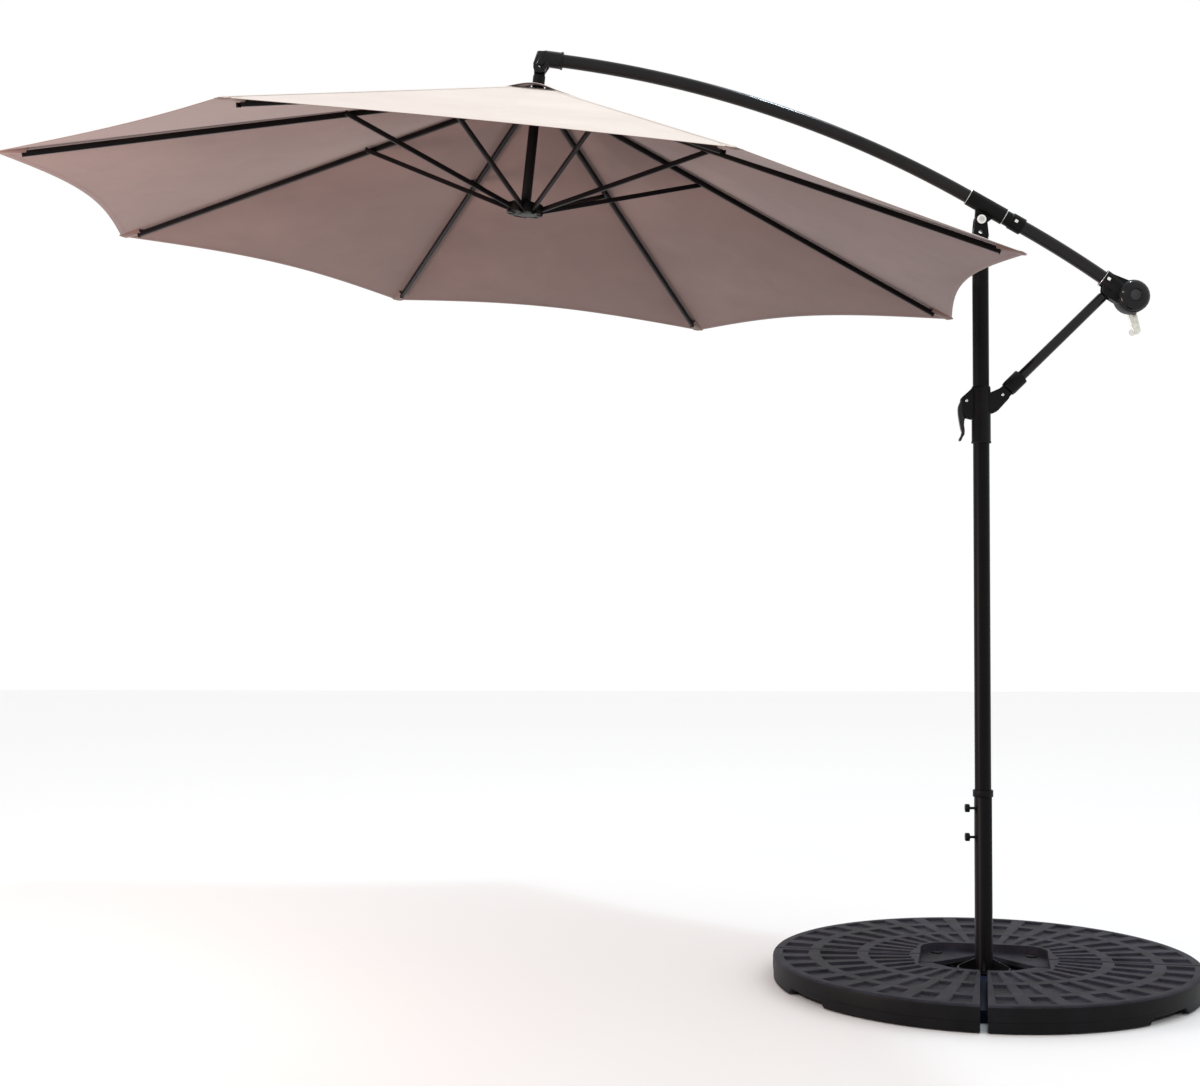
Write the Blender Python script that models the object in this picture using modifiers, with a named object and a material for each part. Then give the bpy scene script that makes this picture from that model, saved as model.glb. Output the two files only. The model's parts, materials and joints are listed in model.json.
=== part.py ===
# Cantilever patio umbrella on a cross base with four quarter-round weight plates.
# Metres, +Z up. The origin lies on the floor, on the axis of the pole.
# +X points from the pole to the winch, -X to the canopy, and the arm lies in the XZ plane.
from math import atan, atan2, cos, degrees, hypot, pi, radians, sin, sqrt, tan

import bmesh
import bpy
from mathutils import Matrix, Vector

# ---- clearances ----
TOUCH = 0.0003            # between pieces that rest on or sit in each other
RUNNING = 0.0006          # round a shaft or a sliding tube
SIDE_PLAY = 0.0012        # beside a blade that swings in a fork

# ---- base ----
BASE_RADIUS = 0.618
PLATE_HEIGHT = 0.074
SEAM_X = 0.010            # half of the gap between the plates in front and behind
SEAM_Y = 0.003            # half of the gap between the plates at the sides
BASE_TURN = -10.8         # degrees; the base is turned under the swivelling pole
RECESS_HALF = 0.186
RECESS_DEPTH = 0.024
RECESS_CORNER = 0.080
OPENING_HALF = 0.150      # half diagonal of the diamond opening round the pole's foot
RIM_CHAMFER = 0.008
BAR_LENGTH = 1.000
BAR_WIDTH = 0.040
BAR_HEIGHT = 0.034
NOTCH_HEIGHT = 0.020
NOTCH_DEPTH = 0.028
NOTCH_START = 29.0        # degrees from the X axis
NOTCH_END = 45.0
FLANGE_RADIUS = 0.078
FLANGE_THICKNESS = 0.006
GUSSET_HEIGHT = 0.028
GUSSET_THICKNESS = 0.006
CAP_RADIUS = 0.017
CAP_HEIGHT = 0.010
CAP_SINK = 0.006          # how deep the cap sits in the recess's floor
CAP_PLACE = 0.140         # along X and along Y from the pole

# ---- pole ----
POLE_RADIUS = 0.0240
POLE_WALL = 0.0015
SOCKET_WALL = 0.0014      # wall of the lower pole, which the upper pole stands in
SOCKET_TOP = 0.555
INSERT_DEPTH = 0.220
COLLAR_HEIGHT = 0.020
COLLAR_WALL = 0.0035
SCREW_HEIGHTS = (0.509, 0.424)
SCREW_RADIUS = 0.004
SCREW_REACH = 0.053       # from the pole's axis to the outside of the knob
KNOB_RADIUS = 0.013
KNOB_THICKNESS = 0.013
PIVOT_HEIGHT = 2.249      # axis of the arm's pivot bolt above the floor
POLE_TOP_DROP = 0.052     # from that axis down to the end of the pole

# ---- pivot at the pole's top ----
FORK_RADIUS = 0.0180
FORK_WALL = 0.0075
LUG_HALF = 0.0085
LUG_RADIUS = 0.0166
LUG_ROOT_DROP = 0.0150    # from the sleeve's axis down to the lug's root, inside the sleeve's wall
LUG_ROOT_UPHILL = 0.0280
LUG_ROOT_DOWNHILL = 0.0360
BOLT_RADIUS = 0.0050
BOLT_HEAD_RADIUS = 0.0128
BOLT_HEAD_HEIGHT = 0.0060

# ---- arm ----
TUBE_RADIUS = 0.0198
TUBE_WALL = 0.0016
SLEEVE_SLOPE = 30.0       # degrees below the horizontal, towards the winch
ELBOW_SLOPE = 8.0
ARM_BEND_RADIUS = 3.342
SLEEVE_LENGTH = 0.123
SLEEVE_WALL = 0.0042
SLEEVE_RISE = 0.045       # from the pivot bolt up to the axis of the sleeve
SLEEVE_SHIFT = -0.0047
COUPLER_LENGTH = 0.060
COUPLER_HEAD = 0.0048     # how far the coupler stands out from the tube
TAIL_BEND = 5.2           # degrees
TAIL_LENGTH = 0.280
TAIL_INSERT = 0.026
BUTTON_RADIUS = 0.0042
BUTTON_HEIGHT = 0.0025

# ---- winch ----
DRUM_AHEAD = 0.102        # from the end of the tail tube's visible part to the winch axis
HOUSING_RADIUS = 0.048
HOUSING_HALF = 0.0285
HOUSING_WALL = 0.004
HOUSING_COLLAR = 0.0060   # wall of the collar round the tail tube
CHEEK_WALL = 0.0064       # cheeks on both sides of the strut's tang
CHEEK_RADIUS = 0.0185
STRUT_SWEEP = 0.0175      # half width of the slot that the strut swings in
STRUT_LIFT = 8.0          # degrees above level, the strut's direction in the housing at full tilt
PIN_RADIUS = 0.0040       # holes for the pins and rivets
COVER_HEIGHT = 0.0215
COVER_RING = 0.021
SPOOL_RADIUS = 0.028
AXLE_RADIUS = 0.007
CRANK_REACH = 0.108
CRANK_WIDTH = 0.024
CRANK_THICKNESS = 0.006
CRANK_LEAN = 14.6         # degrees from straight down, towards +X
GRIP_RADIUS = 0.011
GRIP_LENGTH = 0.045

# ---- strut and slider ----
STRUT_RADIUS = 0.0149
STRUT_WALL = 0.0014
STRUT_LENGTH = 0.4389     # between the two strut pins
STRUT_PIN_AHEAD = 0.0354  # upper pin, measured in the tail tube's direction
STRUT_PIN_BELOW = 0.0259
TANG_HALF = 0.0090
EAR_REACH = 0.0614        # lower pin, from the pole's axis
EAR_RADIUS = 0.0212
EAR_ROOT_RADIUS = 0.0300
EAR_ROOT_DROP = 0.0250    # from the lower strut pin down to the middle of the ears' root
EAR_WALL = 0.0060
SOCKET_RADIUS = 0.0235
SOCKET_LENGTH = 0.080
SOCKET_ROOT_RADIUS = 0.0222
SLIDER_WALL = 0.0034
SLIDER_ABOVE = 0.026      # sleeve above the lower strut pin
SLIDER_BELOW = 0.143
LEVER_PIN_REACH = 0.0443
LEVER_PIN_DROP = 0.017    # below the lower strut pin
LEVER_HALF = 0.0080
LEVER_LENGTH = 0.121
LEVER_TOP_RADIUS = 0.0125
LEVER_BOX_WALL = 0.0045

# ---- elbow ----
ELBOW_INSERT = 0.036
ELBOW_WALL = 0.0045
ELBOW_REACH = 0.069       # from the elbow's mouth to the hanger pin, across
ELBOW_DROP = 0.0198       # from the elbow's mouth down to the hanger pin
ELBOW_COLLAR = 0.0070
KNUCKLE_RADIUS = 0.0200
NECK_BLADE_HALF = 0.0090
NECK_RADIUS = 0.0185
NECK_END = 0.0180         # below the peak, where the neck stands on the crown hub

# ---- canopy ----
CANOPY_RADIUS = 1.500
CANOPY_DROP = 0.478       # from the peak down to the rib tips
CANOPY_TILT = 5.98        # degrees, lower on the pole's side
PEAK_BELOW_PIN = 0.0535   # hanger pin to the peak of the fabric
RIB_COUNT = 8
RIB_WIDTH = 0.012
RIB_HEIGHT = 0.016
RIB_WALL = 0.0010
RIB_BELOW_FABRIC = 0.0160 # fabric to the rib's centre line, square to the rib
RIB_END_SHORT = 0.070     # how far the rib stops short of the fabric's corner
FABRIC = 0.0014
HEM_CURVE = 0.062         # how far the hem curves in between two ribs
TOP_HOLE = 0.110
HUB_PIVOT_RADIUS = 0.047
HUB_RADIUS = 0.057
HUB_CORE = 0.030
HUB_HALF = 0.010
CROWN_BOTTOM = 0.056      # below the peak
VENT_RADIUS = 0.170
VENT_SLOPE = 0.240
VENT_GAP = 0.0035         # neck to vent cap
STRETCHER_WIDTH = 0.010
STRETCHER_HEIGHT = 0.014
STRETCHER_REACH = 0.566   # radius at which the stretchers meet the ribs
STRETCHER_OFFSET = 0.0125 # beside the rib
RUNNER_DROP = 0.375       # from the peak down to the stretchers' inner pins
RUNNER_PIVOT_RADIUS = 0.045
RUNNER_RADIUS = 0.054
RUNNER_CORE = 0.030
RUNNER_HALF = 0.016
CENTRE_TUBE_RADIUS = 0.0150
CENTRE_TUBE_WALL = 0.0015

# ---- roundness ----
FINE = 24
MEDIUM = 16
COARSE = 10

# ---- colours: linear base colour, roughness, metallic ----
STEEL_BLACK = ((0.020, 0.018, 0.021), 0.38, 0.3)
PLASTIC_BLACK = ((0.012, 0.012, 0.013), 0.42, 0.0)
PLATE_PLASTIC = ((0.036, 0.033, 0.042), 0.62, 0.0)
NAVY_STEEL = ((0.018, 0.024, 0.045), 0.40, 0.4)
ZINC = ((0.62, 0.62, 0.64), 0.30, 1.0)
CANOPY_FABRIC = ((0.86, 0.74, 0.68), 0.85, 0.0)


# ---- places worked out from the sizes ----
def downhill(slope):
    """Unit vector in the XZ plane that runs towards +X and falls by slope degrees."""
    return Vector((cos(radians(slope)), 0.0, -sin(radians(slope))))


def uphill_side(slope):
    """Unit vector square to downhill(slope), on its upper side."""
    return Vector((sin(radians(slope)), 0.0, cos(radians(slope))))


def arc_end(start, slope_from, slope_to, radius, sign):
    """Far end of an arc in the XZ plane; sign +1 runs downhill and -1 runs uphill."""
    chord = 2.0 * radius * sin(radians(abs(slope_to - slope_from)) / 2.0)
    return start + downhill((slope_from + slope_to) / 2.0) * chord * sign


def arc_handle(slope_from, slope_to, radius):
    return 4.0 / 3.0 * tan(radians(abs(slope_to - slope_from)) / 4.0) * radius


PIVOT = Vector((0.0, 0.0, PIVOT_HEIGHT))
SLEEVE_DIR = downhill(SLEEVE_SLOPE)
SLEEVE_MID = PIVOT + uphill_side(SLEEVE_SLOPE) * SLEEVE_RISE + SLEEVE_DIR * SLEEVE_SHIFT
SLEEVE_UPPER = SLEEVE_MID - SLEEVE_DIR * (SLEEVE_LENGTH / 2.0)
SLEEVE_LOWER = SLEEVE_MID + SLEEVE_DIR * (SLEEVE_LENGTH / 2.0)
COUPLER_START = SLEEVE_LOWER + SLEEVE_DIR * 0.002
COUPLER_END = COUPLER_START + SLEEVE_DIR * COUPLER_LENGTH
TAIL_SLOPE = SLEEVE_SLOPE + TAIL_BEND
TAIL_BEND_RADIUS = TAIL_LENGTH / radians(TAIL_BEND)
TAIL_END = arc_end(COUPLER_END, SLEEVE_SLOPE, TAIL_SLOPE, TAIL_BEND_RADIUS, 1.0)
TAIL_DIR = downhill(TAIL_SLOPE)
STRUT_PIN = TAIL_END + TAIL_DIR * STRUT_PIN_AHEAD - uphill_side(TAIL_SLOPE) * STRUT_PIN_BELOW
WINCH = TAIL_END + TAIL_DIR * DRUM_AHEAD
STRUT_RISE = sqrt(STRUT_LENGTH ** 2 - (STRUT_PIN.x - EAR_REACH) ** 2)
SLIDER_PIN = Vector((EAR_REACH, 0.0, STRUT_PIN.z - STRUT_RISE))
STRUT_DIR = (STRUT_PIN - SLIDER_PIN).normalized()
LEVER_PIN = Vector((-LEVER_PIN_REACH, 0.0, SLIDER_PIN.z - LEVER_PIN_DROP))
ELBOW_MOUTH = arc_end(SLEEVE_UPPER, SLEEVE_SLOPE, ELBOW_SLOPE, ARM_BEND_RADIUS, -1.0)
HANGER_PIN = ELBOW_MOUTH + Vector((-ELBOW_REACH, 0.0, -ELBOW_DROP))
TILT = radians(CANOPY_TILT)
CANOPY_AXIS = Vector((sin(TILT), 0.0, cos(TILT)))
PEAK = HANGER_PIN - CANOPY_AXIS * PEAK_BELOW_PIN

# in the canopy's own frame, which starts at the peak with +Z along the canopy's axis
RIB_SLOPE = atan(CANOPY_DROP / CANOPY_RADIUS)
HALF_PANEL = pi / RIB_COUNT
PANEL_FALL = CANOPY_DROP / (CANOPY_RADIUS * cos(HALF_PANEL))


def rib_line(radius):
    """Height of the rib's centre line at a radius."""
    return -tan(RIB_SLOPE) * radius - RIB_BELOW_FABRIC / cos(RIB_SLOPE)


HUB_PIVOT_Z = rib_line(HUB_PIVOT_RADIUS)
JOINT_Z = rib_line(STRETCHER_REACH)
CLOSED_ANGLE = radians(84.0)
RIB_TO_JOINT = (STRETCHER_REACH - HUB_PIVOT_RADIUS) / cos(RIB_SLOPE)
STRETCHER_LENGTH = hypot(STRETCHER_REACH - RUNNER_PIVOT_RADIUS, JOINT_Z + RUNNER_DROP)
STRETCHER_SLOPE = atan2(JOINT_Z + RUNNER_DROP, STRETCHER_REACH - RUNNER_PIVOT_RADIUS)


# ---- scene helpers ----
def clear_scene():
    for item in list(bpy.data.objects):
        bpy.data.objects.remove(item, do_unlink=True)


def new_collection(name):
    collection = bpy.data.collections.new(name)
    bpy.context.scene.collection.children.link(collection)
    return collection


clear_scene()
PARTS = new_collection("patio_umbrella")
CUTTERS = new_collection("cutters")
BASE_FRAME = Matrix.Rotation(radians(BASE_TURN), 4, "Z")


def give_material(item, finish):
    colour, roughness, metallic = finish
    material = bpy.data.materials.new(item.name)
    material.use_nodes = True
    shader = material.node_tree.nodes["Principled BSDF"]
    shader.inputs["Base Color"].default_value = (*colour, 1.0)
    shader.inputs["Roughness"].default_value = roughness
    shader.inputs["Metallic"].default_value = metallic
    item.data.materials.append(material)


def place(item, origin, direction=None, turn=0.0):
    """Moves an object to origin, with its own +Z along direction."""
    rotation = Matrix.Identity(4)
    if direction is not None:
        rotation = Vector((0.0, 0.0, 1.0)).rotation_difference(direction).to_matrix().to_4x4()
    item.matrix_world = Matrix.Translation(origin) @ rotation @ Matrix.Rotation(turn, 4, "Z")


def add_item(name, mesh, finish=None, cutter=False):
    item = bpy.data.objects.new(name, mesh)
    (CUTTERS if cutter else PARTS).objects.link(item)
    if cutter:
        item.hide_render = True
        item.display_type = "WIRE"
    elif finish is not None:
        give_material(item, finish)
    return item


def mesh_from(bm, name):
    mesh = bpy.data.meshes.new(name)
    bm.to_mesh(mesh)
    bm.free()
    return mesh


def box_mesh(name, size, centre=(0.0, 0.0, 0.0)):
    bm = bmesh.new()
    bmesh.ops.create_cube(bm, size=1.0, matrix=Matrix.Translation(centre) @ Matrix.Diagonal((*size, 1.0)))
    return mesh_from(bm, name)


def rod_mesh(name, radius, start, end, segments):
    """A closed cylinder between two points."""
    span = end - start
    turn = Vector((0.0, 0.0, 1.0)).rotation_difference(span).to_matrix().to_4x4()
    bm = bmesh.new()
    bmesh.ops.create_cone(bm, cap_ends=True, cap_tris=False, segments=segments, radius1=radius,
                          radius2=radius, depth=span.length,
                          matrix=Matrix.Translation((start + end) / 2.0) @ turn)
    return mesh_from(bm, name)


def turned_item(name, profile, finish, steps, closed=False, cutter=False):
    """Turns a profile of (radius, height) points round Z; a closed profile makes a ring or tube."""
    bm = bmesh.new()
    verts = [bm.verts.new((radius, 0.0, height)) for radius, height in profile]
    for first, second in zip(verts, verts[1:]):
        bm.edges.new((first, second))
    if closed:
        bm.edges.new((verts[-1], verts[0]))
    item = add_item(name, mesh_from(bm, name), finish, cutter)
    screw = item.modifiers.new("turn", "SCREW")
    screw.steps = steps
    screw.render_steps = steps
    screw.use_merge_vertices = True
    screw.merge_threshold = 0.00001
    return item


def tube_profile(outer, inner, bottom, top):
    return [(outer, top), (outer, bottom), (inner, bottom), (inner, top)]


def bake(item):
    """Turns a curve, or an object with modifiers, into a plain welded mesh."""
    bpy.context.view_layer.update()
    graph = bpy.context.evaluated_depsgraph_get()
    mesh = bpy.data.meshes.new_from_object(item.evaluated_get(graph))
    bm = bmesh.new()
    bm.from_mesh(mesh)
    bmesh.ops.remove_doubles(bm, verts=bm.verts, dist=0.00001)
    bm.to_mesh(mesh)
    bm.free()
    if item.type == "CURVE":
        fresh = bpy.data.objects.new(item.name, mesh)
        for collection in item.users_collection:
            collection.objects.link(fresh)
        fresh.matrix_world = item.matrix_world
        fresh.hide_render = item.hide_render
        fresh.display_type = item.display_type
        name = item.name
        bpy.data.objects.remove(item, do_unlink=True)
        fresh.name = name
        return fresh
    item.modifiers.clear()
    item.data = mesh
    return item


def outline_item(name, points, half_depth, finish=None, cutter=False):
    """A flat closed outline of (x, z) points, extruded by half_depth to both sides of y = 0."""
    curve = bpy.data.curves.new(name, "CURVE")
    curve.dimensions = "2D"
    curve.fill_mode = "BOTH"
    curve.extrude = half_depth
    spline = curve.splines.new("POLY")
    spline.points.add(len(points) - 1)
    for point, (x, z) in zip(spline.points, points):
        point.co = (x, z, 0.0, 1.0)
    spline.use_cyclic_u = True
    item = add_item(name, curve, None, cutter)
    item.matrix_world = Matrix.Rotation(pi / 2.0, 4, "X")
    item = bake(item)
    if finish is not None:
        give_material(item, finish)
    return item


def apply_place(item):
    """Moves an object's place into its mesh."""
    item.data.transform(item.matrix_world)
    item.matrix_world = Matrix.Identity(4)
    return item


def combine(item, other, operation):
    modifier = item.modifiers.new(operation.lower(), "BOOLEAN")
    modifier.operation = operation
    modifier.solver = "EXACT"
    modifier.object = other


def join_to(item, *others):
    for other in others:
        combine(item, other, "UNION")


def cut_from(item, *others):
    for other in others:
        combine(item, other, "DIFFERENCE")


def arc_points(centre, radius, start, end, count):
    """Points on an arc in the XZ plane, angles in degrees."""
    steps = [radians(start + (end - start) * index / count) for index in range(count + 1)]
    return [(centre[0] + radius * cos(angle), centre[1] + radius * sin(angle)) for angle in steps]


def tapered_link(name, first, first_radius, second, second_radius, half_depth, cutter=True):
    """A flat link in the XZ plane whose ends are two discs, with straight tangents between them."""
    span = second - first
    heading = degrees(atan2(span.z, span.x))
    lean = degrees(atan2(first_radius - second_radius, span.length))
    points = arc_points((first.x, first.z), first_radius, heading + 90.0 - lean, heading + 270.0 + lean, 10)
    points += arc_points((second.x, second.z), second_radius, heading - 90.0 + lean,
                         heading + 90.0 - lean, 10)
    return outline_item(name, points, half_depth, cutter=cutter)


def shield(name, discs, half_depth):
    """A flat cutter in the XZ plane with a tight straight-sided outline round several discs."""
    bm = bmesh.new()
    for centre, radius in discs:
        for depth in (-half_depth, half_depth):
            turn = Matrix.Rotation(pi / 2.0, 4, "X")
            level = Matrix.Translation((centre.x, depth, centre.z)) @ turn
            bmesh.ops.create_circle(bm, cap_ends=False, radius=radius, segments=MEDIUM * 2, matrix=level)
    hull = bmesh.ops.convex_hull(bm, input=bm.verts)
    spare = set(hull["geom_interior"] + hull["geom_unused"])
    bmesh.ops.delete(bm, geom=[item for item in spare if isinstance(item, bmesh.types.BMVert)])
    return add_item(name, mesh_from(bm, name), cutter=True)


def axis_rod(name, radius, place_at, half_length, segments=MEDIUM, middle=0.0):
    """A cutter cylinder along Y through a point of the XZ plane."""
    start = Vector((place_at.x, middle - half_length, place_at.z))
    end = Vector((place_at.x, middle + half_length, place_at.z))
    return add_item(name, rod_mesh(name, radius, start, end, segments), cutter=True)


def side_box(name, size, centre):
    return add_item(name, box_mesh(name, size, centre), cutter=True)


# ---- base ----
def plate_outline():
    """Quarter plate seen from above: two straight seams, the round rim and the cut corner at the pole."""
    rim_start = degrees(atan2(SEAM_Y, sqrt(BASE_RADIUS ** 2 - SEAM_Y ** 2)))
    rim_end = 90.0 - degrees(atan2(SEAM_X, sqrt(BASE_RADIUS ** 2 - SEAM_X ** 2)))
    points = [(OPENING_HALF - SEAM_Y, SEAM_Y)]
    points += arc_points((0.0, 0.0), BASE_RADIUS, rim_start, rim_end, 20)
    points += [(SEAM_X, OPENING_HALF - SEAM_X)]
    return points


def upright_outline(name, points, bottom, top, cutter=False):
    """A flat outline of (x, y) points, extruded from bottom to top."""
    item = outline_item(name, points, (top - bottom) / 2.0, cutter=cutter)
    item.data.transform(Matrix.Rotation(-pi / 2.0, 4, "X") @ item.matrix_world)
    item.data.transform(Matrix.Translation((0.0, 0.0, (top + bottom) / 2.0)))
    item.matrix_world = Matrix.Identity(4)
    return item


def rounded_square(half, corner):
    points = []
    for index in range(4):
        angle = 90.0 * index
        side_x = 1.0 if index in (0, 3) else -1.0
        side_y = 1.0 if index in (0, 1) else -1.0
        centre = (side_x * (half - corner), side_y * (half - corner))
        points += arc_points(centre, corner, angle, angle + 90.0, 5)
    return points


def notch_outline():
    inner = BASE_RADIUS - NOTCH_DEPTH
    outer = BASE_RADIUS + 0.020
    points = arc_points((0.0, 0.0), outer, NOTCH_START, NOTCH_END, 5)
    return points + arc_points((0.0, 0.0), inner, NOTCH_END, NOTCH_START, 5)


def cap_profile(radius, bottom, top):
    lip = 0.0015
    return [(0.0, top), (radius - lip, top), (radius, top - lip), (radius, bottom), (0.0, bottom)]


def make_quarter_plate():
    plate = upright_outline("base_plate_1", plate_outline(), 0.0, PLATE_HEIGHT)
    give_material(plate, PLATE_PLASTIC)
    rim = plate.modifiers.new("rim", "BEVEL")
    rim.width = RIM_CHAMFER
    rim.segments = 1
    rim.limit_method = "ANGLE"
    rim.angle_limit = radians(60.0)
    recess_floor = PLATE_HEIGHT - RECESS_DEPTH
    recess = upright_outline("plate_recess", rounded_square(RECESS_HALF, RECESS_CORNER), recess_floor,
                             PLATE_HEIGHT + 0.020, cutter=True)
    notch = upright_outline("plate_notch", notch_outline(), -0.010, NOTCH_HEIGHT, cutter=True)
    rebate = BAR_WIDTH / 2.0 + TOUCH
    reach = BAR_LENGTH / 2.0 + TOUCH
    lift = BAR_HEIGHT + TOUCH
    bar_x = side_box("plate_bar_x", (2.0 * reach, 2.0 * rebate, 2.0 * lift), (0.0, 0.0, 0.0))
    bar_y = side_box("plate_bar_y", (2.0 * rebate, 2.0 * reach, 2.0 * lift), (0.0, 0.0, 0.0))
    seat_profile = cap_profile(CAP_RADIUS + TOUCH, recess_floor - CAP_SINK, PLATE_HEIGHT)
    seat = turned_item("plate_cap_seat", seat_profile, None, COARSE, cutter=True)
    place(seat, Vector((CAP_PLACE, CAP_PLACE, 0.0)))
    cut_from(plate, recess, notch, bar_x, bar_y, seat)
    return bake(plate)


def make_base_plates():
    """The four plates mirror each other about the two seams."""
    first = make_quarter_plate()
    recess_floor = PLATE_HEIGHT - RECESS_DEPTH
    for number, (side_x, side_y) in enumerate(((1, 1), (-1, 1), (-1, -1), (1, -1)), start=1):
        plate = first
        if number > 1:
            mesh = first.data.copy()
            mesh.transform(Matrix.Diagonal((side_x, side_y, 1.0, 1.0)))
            if side_x * side_y < 0:
                mesh.flip_normals()
            mesh.materials.clear()
            plate = add_item(f"base_plate_{number}", mesh, PLATE_PLASTIC)
        plate.matrix_world = BASE_FRAME
        cap = turned_item(f"filler_cap_{number}", cap_profile(CAP_RADIUS, 0.0, CAP_HEIGHT),
                          PLASTIC_BLACK, COARSE)
        seat = Vector((side_x * CAP_PLACE, side_y * CAP_PLACE, recess_floor - CAP_SINK + TOUCH))
        cap.matrix_world = BASE_FRAME @ Matrix.Translation(seat)


def make_cross_bars():
    """Two flat-lying box bars, half-lapped where they cross."""
    half_lap = BAR_HEIGHT / 2.0
    lap = BAR_WIDTH + 2.0 * TOUCH
    middle = (0.0, 0.0, half_lap)
    mesh_x = box_mesh("cross_bar_x", (BAR_LENGTH, BAR_WIDTH, BAR_HEIGHT), middle)
    mesh_y = box_mesh("cross_bar_y", (BAR_WIDTH, BAR_LENGTH, BAR_HEIGHT), middle)
    bar_x = add_item("cross_bar_x", mesh_x, NAVY_STEEL)
    bar_y = add_item("cross_bar_y", mesh_y, NAVY_STEEL)
    top_lap = side_box("top_lap", (lap, lap, BAR_HEIGHT), (0.0, 0.0, BAR_HEIGHT - TOUCH))
    bottom_lap = side_box("bottom_lap", (lap, lap, BAR_HEIGHT), (0.0, 0.0, 0.0))
    for piece in (bar_x, bar_y, top_lap, bottom_lap):
        piece.matrix_world = BASE_FRAME
    cut_from(bar_x, top_lap)
    cut_from(bar_y, bottom_lap)


def make_base_post():
    """The flange, the lower pole and four gussets are one welded piece."""
    foot = BAR_HEIGHT + TOUCH
    inner = POLE_RADIUS + RUNNING
    outer = inner + SOCKET_WALL
    weld = foot + FLANGE_THICKNESS
    profile = [(outer, SOCKET_TOP), (outer, weld), (FLANGE_RADIUS, weld), (FLANGE_RADIUS, foot),
               (inner, foot), (inner, SOCKET_TOP)]
    post = turned_item("base_post", profile, STEEL_BLACK, FINE, closed=True)
    post = bake(post)
    root = outer - 0.0005
    reach = FLANGE_RADIUS - 0.006
    for index in range(4):
        points = [(root, weld - 0.001), (reach, weld - 0.001), (reach, weld + 0.006),
                  (root, weld + GUSSET_HEIGHT)]
        gusset = outline_item(f"gusset_{index}", points, GUSSET_THICKNESS / 2.0, cutter=True)
        quarter = Matrix.Rotation(index * pi / 2.0, 4, "Z")
        gusset.matrix_world = BASE_FRAME @ quarter @ gusset.matrix_world
        join_to(post, gusset)
    for index, height in enumerate(SCREW_HEIGHTS):
        outside = Vector((-2.0 * outer, 0.0, height))
        bore = rod_mesh("screw_hole", SCREW_RADIUS + TOUCH, outside, Vector((0.0, 0.0, height)), COARSE)
        cut_from(post, add_item(f"screw_hole_{index}", bore, cutter=True))
    bore = inner + TOUCH
    lip = outer + TOUCH
    ring = lip + COLLAR_WALL
    low = SOCKET_TOP - COLLAR_HEIGHT * 0.6
    high = SOCKET_TOP + COLLAR_HEIGHT * 0.4
    profile = [(ring - 0.001, high), (ring, high - 0.001), (ring, low), (lip, low),
               (lip, SOCKET_TOP + TOUCH), (bore, SOCKET_TOP + TOUCH), (bore, high)]
    turned_item("pole_collar", profile, PLASTIC_BLACK, FINE, closed=True)


def make_thumbscrew(name, height):
    """A winged screw that clamps the upper pole; it is turned about its own axis."""
    tip = POLE_RADIUS + TOUCH
    neck = SCREW_REACH - KNOB_THICKNESS
    edge = 0.0015
    profile = [(0.0, SCREW_REACH), (KNOB_RADIUS - edge, SCREW_REACH), (KNOB_RADIUS, SCREW_REACH - edge),
               (KNOB_RADIUS, neck + edge), (KNOB_RADIUS - edge, neck), (SCREW_RADIUS, neck),
               (SCREW_RADIUS, tip), (0.0, tip)]
    screw = turned_item(name, profile, PLASTIC_BLACK, COARSE)
    place(screw, Vector((0.0, 0.0, height)), Vector((-1.0, 0.0, 0.0)))
    screw = bake(screw)
    for index in range(6):
        angle = index * pi / 3.0
        centre = Vector((cos(angle), sin(angle), 0.0)) * (KNOB_RADIUS + 0.0035)
        start = centre + Vector((0.0, 0.0, neck - 0.005))
        end = centre + Vector((0.0, 0.0, SCREW_REACH + 0.005))
        flute = add_item(f"{name}_flute_{index}", rod_mesh("flute", 0.0060, start, end, 12), cutter=True)
        flute.matrix_world = screw.matrix_world
        cut_from(screw, flute)


# ---- mast ----
def make_mast():
    bottom = SOCKET_TOP - INSERT_DEPTH
    top = PIVOT_HEIGHT - POLE_TOP_DROP
    inner = POLE_RADIUS - POLE_WALL
    turned_item("upper_pole", tube_profile(POLE_RADIUS, inner, bottom, top), STEEL_BLACK, FINE, closed=True)
    make_pole_top(top, inner)
    make_pivot_bolt()


def make_pole_top(top, inner):
    """A plug in the pole with a fork that carries the pivot bolt."""
    seat = top + TOUCH
    plug = inner - TOUCH
    crown = 0.012
    profile = [(0.0, seat + crown), (POLE_RADIUS - 0.002, seat + crown),
               (POLE_RADIUS, seat + crown - 0.003),
               (POLE_RADIUS, seat), (plug, seat), (plug, seat - 0.030), (0.0, seat - 0.030)]
    cap = bake(turned_item("pole_top_cap", profile, PLASTIC_BLACK, FINE))
    inside = LUG_HALF + SIDE_PLAY
    outside = inside + FORK_WALL
    foot = Vector((0.0, 0.0, seat + 0.004))
    fork = tapered_link("pole_top_fork", foot, POLE_RADIUS * 0.95, PIVOT, FORK_RADIUS, outside)
    slot_bottom = PIVOT_HEIGHT - FORK_RADIUS - 0.006
    slot = side_box("pole_top_slot", (0.100, 2.0 * inside, 0.100), (0.0, 0.0, slot_bottom + 0.050))
    trim = side_box("pole_top_trim", (0.200, 0.200, 0.100), (0.0, 0.0, seat - 0.050 + 0.001))
    cut_from(fork, trim)
    hole = axis_rod("pole_top_hole", BOLT_RADIUS + TOUCH, PIVOT, 0.050)
    arch = axis_rod("pole_top_arch", 0.0075, Vector((0.0, 0.0, seat + crown + 0.004)), 0.050)
    join_to(cap, fork)
    cut_from(cap, slot, hole, arch)


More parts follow.
